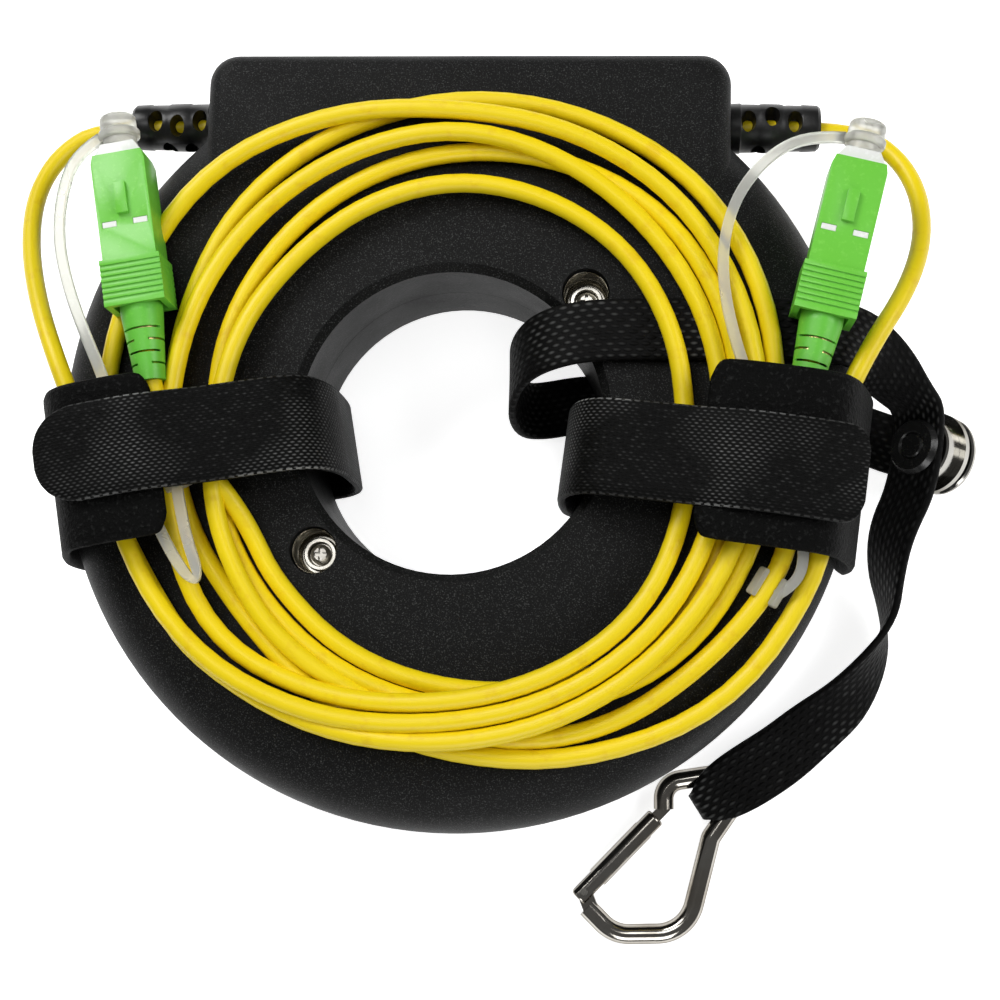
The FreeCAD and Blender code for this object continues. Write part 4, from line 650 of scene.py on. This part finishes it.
class Finish:
    """A material with its own shader and helpers that place the groups."""

    def __init__(self, name, colour, roughness, coordinates="Object"):
        self.name = name
        self.material = bpy.data.materials.new(name)
        self.material.use_nodes = True
        self.tree = self.material.node_tree
        self.shader = self.tree.nodes["Principled BSDF"]
        self.shader.inputs["Base Color"].default_value = (*colour, 1)
        self.shader.inputs["Roughness"].default_value = roughness
        self.colour = colour
        place = self.tree.nodes.new("ShaderNodeTexCoord")
        self.vector = place.outputs[coordinates]

    def group(self, name, **values):
        node = self.tree.nodes.new("ShaderNodeGroup")
        node.node_tree = bpy.data.node_groups[name]
        self.tree.links.new(self.vector, node.inputs["Vector"])
        for label, value in values.items():
            node.inputs[label].default_value = value
        return node.outputs

    def set(self, **values):
        for label, value in values.items():
            self.shader.inputs[label.replace("_", " ")].default_value = value

    def tint(self, mask, other):
        """Base colour runs from the plain colour to the other by a mask."""
        mix = self.tree.nodes.new("ShaderNodeMix")
        mix.data_type = "RGBA"
        mix.inputs["A"].default_value = (*self.colour, 1)
        mix.inputs["B"].default_value = (*other, 1)
        old = self.shader.inputs["Base Color"].links
        if old:
            self.tree.links.new(old[0].from_socket, mix.inputs["A"])
        self.tree.links.new(mask, mix.inputs["Factor"])
        self.tree.links.new(mix.outputs["Result"], self.shader.inputs["Base Color"])

    def rough(self, mask, low, high):
        spread = self.tree.nodes.new("ShaderNodeMapRange")
        spread.inputs["To Min"].default_value = low
        spread.inputs["To Max"].default_value = high
        self.tree.links.new(mask, spread.inputs["Value"])
        self.tree.links.new(spread.outputs["Result"], self.shader.inputs["Roughness"])

    def bump(self, height, strength, distance):
        node = self.tree.nodes.new("ShaderNodeBump")
        node.inputs["Strength"].default_value = strength
        node.inputs["Distance"].default_value = distance
        self.tree.links.new(height, node.inputs["Height"])
        self.tree.links.new(node.outputs["Normal"], self.shader.inputs["Normal"])


def moulded(name, colour, roughness, spot, grain, depth=0.00006, strength=0.4, patch=70.0):
    """A moulded plastic with grain, lighter spots and handled patches."""
    finish = Finish(name, colour, roughness)
    grains = finish.group("moulded_grain", Grain=grain, Patch=patch)
    finish.tint(grains["Spots"], spot)
    finish.rough(grains["Patches"], roughness - 0.07, roughness + 0.07)
    finish.bump(grains["Height"], strength, depth)
    return finish


def polished(name, colour, roughness, dull, grain, strength):
    """A plated or turned metal with faint marks, and a dark specular tint that paints dark reflections at its
    edges.
    """
    finish = Finish(name, colour, roughness)
    grains = finish.group("moulded_grain", Grain=grain, Patch=140.0)
    finish.tint(grains["Patches"], dull)
    finish.rough(grains["Patches"], roughness * 0.7, roughness * 1.5)
    finish.bump(grains["Height"], strength, 0.00002)
    # The dark specular tint darkens the metal's edges: a painted dark reflection.
    finish.set(Metallic=1.0, Specular_Tint=(0.3, 0.29, 0.27, 1))
    return finish


def woven(name, colour, roughness, painted_glint, along, across, edge, strength):
    """A woven strip that reads its own map along its length, with painted glints on its dashes and stitches.
    """
    finish = Finish(name, colour, roughness, "UV")
    rows = finish.group("woven_rows", Along=along, Across=across, Edge=edge)
    # Dashes lightened towards the light colour are painted glints; the stitches' lighter tint is a painted
    # glint too.
    finish.tint(rows["PaintedGlint"], painted_glint)
    finish.tint(rows["StitchGlint"], tuple(1.6 * value for value in painted_glint))
    finish.rough(rows["PaintedGlint"], roughness + 0.15, roughness - 0.1)
    finish.bump(rows["Height"], strength, 0.0003)
    return finish


def shaded(colour, shares):
    return tuple(value * share for value, share in zip(colour, shares))


def case_finish():
    colour = settings("finish").case_colour
    return moulded("case_black", colour, 0.52, (0.06, 0.062, 0.06), grain=4300.0, depth=0.0001, strength=0.7)


def lead_finish():
    colour = settings("leads").colour
    return moulded("lead_yellow", colour, 0.42, shaded(colour, (0.93, 0.86, 1)), grain=300.0, depth=0.00005,
                   strength=0.2, patch=120.0)


def grip_finish():
    colour = settings("finish").plug_colour
    return moulded("grip_green", colour, 0.36, shaded(colour, (1.25, 1.08, 1.4)), grain=1500.0)


def plug_boot_finish():
    colour = settings("finish").plug_colour
    return moulded("plug_boot_green", shaded(colour, (0.8, 0.9, 0.8)), 0.45, tuple(colour), grain=1200.0)


def strap_finish():
    # The light colour is the painted glint on the strap's dashes and stitches.
    return woven("strap_fabric", (0.0018, 0.0019, 0.0018), 0.46, (0.14, 0.142, 0.14), along=0.0011,
                 across=0.0005, edge=0.0074, strength=0.6)


def pile_finish():
    finish = Finish("strap_pile", (0.0025, 0.0026, 0.0025), 0.66)
    grains = finish.group("moulded_grain", Grain=1500.0, Patch=240.0)
    finish.tint(grains["Spots"], (0.016, 0.0165, 0.016))
    finish.bump(grains["Height"], 0.9, 0.0006)
    return finish


def webbing_finish():
    pitch = settings("textiles").weave_pitch
    # The light colour is the painted glint on the webbing's dashes and stitches.
    return woven("webbing_fabric", (0.0018, 0.0018, 0.0018), 0.46, (0.1, 0.102, 0.1), along=pitch,
                 across=pitch * 0.5, edge=0.0056, strength=0.8)


def make_materials():
    speckle_group()
    weave_group()
    made = [moulded(name, *row) for name, row in MOULDED.items()]
    made += [polished(name, *row) for name, row in POLISHED.items()]
    made += [case_finish(), lead_finish(), grip_finish(), plug_boot_finish()]
    made += [strap_finish(), pile_finish(), webbing_finish()]
    for finish in made:
        finish.set(**EXTRAS.get(finish.name, {}))
        FINISHES[finish.name] = finish.material


def dress(item, slot, *others):
    """Gives a piece the finish made for the record's slot of that name, and any others."""
    item.data.materials.clear()
    for name in (slot, *others):
        item.data.materials.append(FINISHES[name])


def dress_nodes(slots):
    for node, slot in slots.items():
        dress(NODES[node], slot)


# Pieces.

def make_lead(side, points, replaced):
    """A lead from its strain boot, round the front face and into a plug."""
    radius = settings("leads").diameter / 2
    places = [metres(point) for point in points]
    item = route(side + "_lead", places, radius)
    dress(item, "lead_yellow")
    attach(item, "case")
    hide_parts(*replaced)
    length_of(route_points(places))


def make_boots():
    """The strain boots, with scoops that show the lead inside: one pattern, copied to both walls."""
    pattern = turned_tube("boot_pattern", BOOT_PROFILE)
    for along, angle in BOOT_SCOOPS:
        for turn in (angle, angle + 180):
            round_it = Matrix.Rotation(math.radians(turn), 4, "Z")
            cut(pattern, scoop(round_it @ Matrix.Translation(Vector((0, SCOOP_RADIUS, along)) * MM), SCOOP))
    join_loose(pattern)
    smooth(pattern, MOULDED_ANGLE)
    for side, (wall, sign) in BOOT_WALLS.items():
        item = copy_to(pattern, side + "_boot", facing(metres((wall, *BOOT_AXIS)), Vector((sign, 0, 0))))
        dress(item, "boot_black")
        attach(item, "case")
        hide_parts(side + "_strain_boot")
    discard(pattern)


def make_cups():
    """The two deep cups, one in each screw well, copied from one pattern and joined as one piece."""
    pattern = turned_tube("cup_pattern", CUP_PROFILE)
    cups = [copy_to(pattern, "well_cups", Matrix.Translation(metres((*well, WELL_FLOOR)))) for well in WELLS]
    discard(pattern)
    item = cups[0]
    only(item)
    for cup in cups:
        cup.select_set(True)
    bpy.ops.object.join()
    smooth(item, TURNED_ANGLE)
    dress(item, "cup_metal")
    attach(item, "case")
    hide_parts("screw_cups")


def soften(node, slot, body, edge):
    """A copy of a moulded node with small rounds on its edges."""
    source = NODES[node]
    item = link(bpy.data.objects.new(node + "_moulding", source.data.copy()))
    item.data.transform(source.matrix_world)
    join_loose(item)
    bpy.ops.object.mode_set(mode="EDIT")
    bpy.ops.mesh.select_all(action="SELECT")
    bpy.ops.mesh.dissolve_limited(angle_limit=math.radians(FLAT_ANGLE))
    bpy.ops.object.mode_set(mode="OBJECT")
    apply_modifier(item, "BEVEL", width=edge * MM, segments=2, limit_method="ANGLE",
                   angle_limit=math.radians(BEVEL_ANGLE), use_clamp_overlap=True)
    smooth(item, MOULDED_ANGLE)
    dress(item, slot)
    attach(item, body)
    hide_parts(node)


def make_inlays():
    """The two white inlays in the windows of a grip: one pattern, copied to both plugs."""
    size, middle = INLAY
    bpy.ops.object.select_all(action="DESELECT")
    bpy.ops.mesh.primitive_cube_add(size=MM)
    pattern = bpy.context.object
    bpy.ops.object.mode_set(mode="EDIT")
    bpy.ops.mesh.select_all(action="SELECT")
    bpy.ops.transform.resize(value=size, center_override=(0, 0, 0))
    bpy.ops.mesh.bevel(offset=INLAY_EDGE * MM, segments=2)
    bpy.ops.mesh.select_all(action="SELECT")
    bpy.ops.transform.translate(value=Vector(middle) * MM)
    bpy.ops.mesh.duplicate()
    bpy.ops.transform.translate(value=(-2 * middle[0] * MM, 0, 0))
    bpy.ops.object.mode_set(mode="OBJECT")
    join_loose(pattern)
    for side in PLUGS:
        item = copy_to(pattern, side + "_grip_inlays", plug_frame(side))
        dress(item, "frame_white")
        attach(item, side + "_grip_body")
    discard(pattern)


def make_tether(side, rows, collar, eye_pattern):
    """A dust cap's tether: its strip, the eye on the cap and the collar on the lead."""
    width = settings("leads").tether_width / 2
    thick = settings("leads").tether_thickness / 2
    places = [metres(row) for row in rows]
    strip_rows = []
    for index, place in enumerate(places):
        across = run_at(places, index).cross(UP).normalized()
        strip_rows.append((place, across * width, thick))
    item, line = flat_strip(side + "_tether_strip", strip_rows, FLAT_SECTION)
    plug = plug_frame(side)
    on_cap = aimed(plug @ Vector((0, 0, EYE_ALONG * MM)), plug.col[2].xyz)
    eye = copy_to(eye_pattern, side + "_tether_eye", on_cap)
    middle, along, opening = collar
    tie = ring_band(side + "_tether_collar", COLLAR_RING, opening)
    tie.data.transform(aimed(metres(middle), along))
    for piece, body in ((eye, side + "_cap_body"), (tie, "case")):
        dress(piece, "cap_silicone")
        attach(piece, body)
    dress(item, "cap_silicone")
    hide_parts(side + "_cap_tether")
    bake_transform(item)


def make_strap(side):
    """A textile strap round the ring, from its wide head to its tail."""
    heading, shift, head_start, head_half = STRAP_PLACES[side]
    turn = Matrix.Rotation(math.radians(heading), 4, "Z")
    thick = settings("textiles").strap_thickness / 2
    table = [(head_start + out, height, share * head_half, offset)
             for out, height, share, offset in STRAP_HEAD]
    table += [(out, height, share * head_half, offset) for out, height, share, offset in STRAP_WRAP]
    table += [(out, height, share * STRAP_HALF, offset)
              for out, height, share, offset in STRAP_BAND + STRAP_TAILS[side]]
    rows = []
    for out, height, half, offset in table:
        centre = RING_AXIS + turn @ Vector((out, shift + offset, height)) * MM
        rows.append((centre, turn @ Vector((0, half * MM, 0)), thick))
    item, line = flat_strip(side + "_strap_tie", rows, FLAT_SECTION)
    dress(item, "strap_fabric", "strap_pile")
    head_end = length_of(route_points([row[0] for row in rows[:len(STRAP_HEAD) + len(STRAP_WRAP)]]))
    uv = item.data.uv_layers[0].data
    for face in item.data.polygons:
        if max(uv[k].uv.y for k in face.loop_indices) < head_end:
            face.material_index = 1
    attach(item, "case")
    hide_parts(side + "_strap")


def make_lanyard():
    """The lanyard's webbing, from its press stud round the ring to the carabiner."""
    rows = []
    points = [metres(row[:3]) for row in LANYARD]
    for index, row in enumerate(LANYARD):
        run = run_at(points, index)
        across = Vector(row[3:6])
        across = (across - run * (across.dot(run) / run.length_squared)).normalized()
        rows.append((points[index], across * row[6] * MM, LANYARD_HALF_THICK * MM))
    item, line = flat_strip("lanyard_strip", rows, FLAT_SECTION)
    dress(item, "webbing_fabric")
    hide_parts("lanyard_webbing")
    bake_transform(item)


def make_floor():
    """A pale floor that looks white to the camera, in reflections and through clear pieces."""
    bpy.ops.object.select_all(action="DESELECT")
    bpy.ops.mesh.primitive_plane_add(size=settings("stage").floor_size, location=(0, 0, FLOOR_LEVEL))
    floor = bpy.context.object
    floor.name = "pale_floor"
    material = bpy.data.materials.new("pale_floor")
    material.use_nodes = True
    tree = material.node_tree
    shader = tree.nodes["Principled BSDF"]
    shader.inputs["Base Color"].default_value = FLOOR_COLOUR
    shader.inputs["Roughness"].default_value = 0.9
    glow = tree.nodes.new("ShaderNodeEmission")
    path = tree.nodes.new("ShaderNodeLightPath")
    seen = math_node(tree, "MAXIMUM", path.outputs["Is Camera Ray"], path.outputs["Is Glossy Ray"])
    seen = math_node(tree, "MAXIMUM", seen, path.outputs["Is Transmission Ray"])
    tree.links.new(math_node(tree, "MULTIPLY", seen, FLOOR_GLOW), glow.inputs["Strength"])
    both = tree.nodes.new("ShaderNodeAddShader")
    tree.links.new(shader.outputs[0], both.inputs[0])
    tree.links.new(glow.outputs[0], both.inputs[1])
    tree.links.new(both.outputs[0], tree.nodes["Material Output"].inputs["Surface"])
    floor.data.materials.append(material)


def make_light():
    world = bpy.data.worlds.new("soft_room")
    world.use_nodes = True
    room = world.node_tree.nodes["Background"]
    room.inputs["Color"].default_value = (1, 1, 1, 1)
    room.inputs["Strength"].default_value = ROOM_LIGHT
    bpy.context.scene.world = world
    for name, (place, target, side, power) in LAMPS.items():
        lamp = bpy.data.lights.new(name, "AREA")
        lamp.shape = "SQUARE"
        lamp.size = side
        lamp.energy = power
        item = link(bpy.data.objects.new(name, lamp))
        item.location = place
        item.rotation_euler = (Vector(target) - Vector(place)).to_track_quat("-Z", "Y").to_euler()


def make_camera():
    camera = bpy.data.cameras.new("photo_camera")
    camera.lens = settings("stage").lens
    camera.sensor_width = 36
    camera.clip_start = 0.01
    item = link(bpy.data.objects.new("photo_camera", camera))
    item.location = CAMERA_PLACE
    item.rotation_euler = CAMERA_TURN
    bpy.context.scene.camera = item
    bpy.context.scene.view_settings.view_transform = "Standard"


# Operators.

class LAUNCHRING_OT_finishes(bpy.types.Operator):
    """Makes the materials and dresses the moulded, turned and plated pieces"""
    bl_idname = "launch_ring.finishes"
    bl_label = "Finish the hard pieces"

    def execute(self, context):
        make_materials()
        slots = {}
        for row in frame["record"]["subparts"]:
            slots[row["node"]] = row["material_slot"]
        dress_nodes(slots)
        return {"FINISHED"}


class LAUNCHRING_OT_leads(bpy.types.Operator):
    """Lays the two leads from their strain boots round the front face to the plugs"""
    bl_idname = "launch_ring.leads"
    bl_label = "Lay the leads"

    def execute(self, context):
        make_lead("left", LEFT_LOOP + turn_points(LEFT_TURNS) + RIGHT_TAIL,
                  ("lead_coil", "left_lead_loop", "right_lead_tail"))
        make_lead("right", RIGHT_LOOP + turn_points(RIGHT_TURNS) + LEFT_TAIL,
                  ("right_lead_loop", "left_lead_tail"))
        return {"FINISHED"}


class LAUNCHRING_OT_tethers(bpy.types.Operator):
    """Moulds the dust caps' tethers with their eyes and collars"""
    bl_idname = "launch_ring.tethers"
    bl_label = "Mould the tethers"

    def execute(self, context):
        eye = ring_band("eye_pattern", EYE_RING)
        make_tether("left", LEFT_TETHER, LEFT_COLLAR, eye)
        make_tether("right", RIGHT_TETHER, RIGHT_COLLAR, eye)
        discard(eye)
        return {"FINISHED"}


class LAUNCHRING_OT_boots(bpy.types.Operator):
    """Turns the strain boots and scoops their windows, and turns the cups in the screw wells"""
    bl_idname = "launch_ring.boots"
    bl_label = "Turn the boots and cups"

    def execute(self, context):
        make_boots()
        make_cups()
        return {"FINISHED"}


class LAUNCHRING_OT_plugs(bpy.types.Operator):
    """Rounds the edges of the plugs' mouldings and sets in their white inlays"""
    bl_idname = "launch_ring.plugs"
    bl_label = "Round the plugs"

    def execute(self, context):
        for side in PLUGS:
            soften(side + "_grip", "grip_green", side + "_grip_body", GRIP_EDGE)
            soften(side + "_plug_frame", "frame_white", "case", FRAME_EDGE)
        make_inlays()
        return {"FINISHED"}


class LAUNCHRING_OT_straps(bpy.types.Operator):
    """Wraps the two textile straps round the ring"""
    bl_idname = "launch_ring.straps"
    bl_label = "Wrap the straps"

    def execute(self, context):
        make_strap("left")
        make_strap("right")
        return {"FINISHED"}


class LAUNCHRING_OT_lanyard(bpy.types.Operator):
    """Runs the lanyard's webbing from its press stud round the ring to the carabiner"""
    bl_idname = "launch_ring.lanyard"
    bl_label = "Run the lanyard"

    def execute(self, context):
        make_lanyard()
        return {"FINISHED"}


class LAUNCHRING_OT_stage(bpy.types.Operator):
    """Sets the floor, the soft light and the camera"""
    bl_idname = "launch_ring.stage"
    bl_label = "Set the stage"

    def execute(self, context):
        make_floor()
        make_light()
        make_camera()
        return {"FINISHED"}


class LAUNCHRING_PT_panel(bpy.types.Panel):
    """Lists the steps and the sizes that a user would change"""
    bl_idname = "LAUNCHRING_PT_panel"
    bl_label = "Launch Ring"
    bl_space_type = "VIEW_3D"
    bl_region_type = "UI"
    bl_category = "Launch Ring"

    def draw(self, context):
        for group in GROUPS:
            box = self.layout.box()
            values = settings(group)
            for label in values.__annotations__:
                box.prop(values, label)
        for operator in OPERATORS:
            self.layout.operator(operator.bl_idname)


GROUPS = {
    "leads": LaunchRingLeads,
    "textiles": LaunchRingTextiles,
    "finish": LaunchRingFinish,
    "stage": LaunchRingStage,
}
OPERATORS = (
    LAUNCHRING_OT_finishes, LAUNCHRING_OT_leads, LAUNCHRING_OT_tethers, LAUNCHRING_OT_boots,
    LAUNCHRING_OT_plugs, LAUNCHRING_OT_straps, LAUNCHRING_OT_lanyard, LAUNCHRING_OT_stage,
)


def register():
    for name, group in GROUPS.items():
        bpy.utils.register_class(group)
        setattr(bpy.types.Scene, "launch_ring_" + name, bpy.props.PointerProperty(type=group))
    for item in (*OPERATORS, LAUNCHRING_PT_panel):
        bpy.utils.register_class(item)


def unregister():
    for item in (LAUNCHRING_PT_panel, *reversed(OPERATORS)):
        bpy.utils.unregister_class(item)
    for name, group in GROUPS.items():
        delattr(bpy.types.Scene, "launch_ring_" + name)
        bpy.utils.unregister_class(group)


def main():
    register()
    bpy.ops.launch_ring.finishes()
    bpy.ops.launch_ring.leads()
    bpy.ops.launch_ring.tethers()
    bpy.ops.launch_ring.boots()
    bpy.ops.launch_ring.plugs()
    bpy.ops.launch_ring.straps()
    bpy.ops.launch_ring.lanyard()
    bpy.ops.launch_ring.stage()


if __name__ == "__main__":
    main()
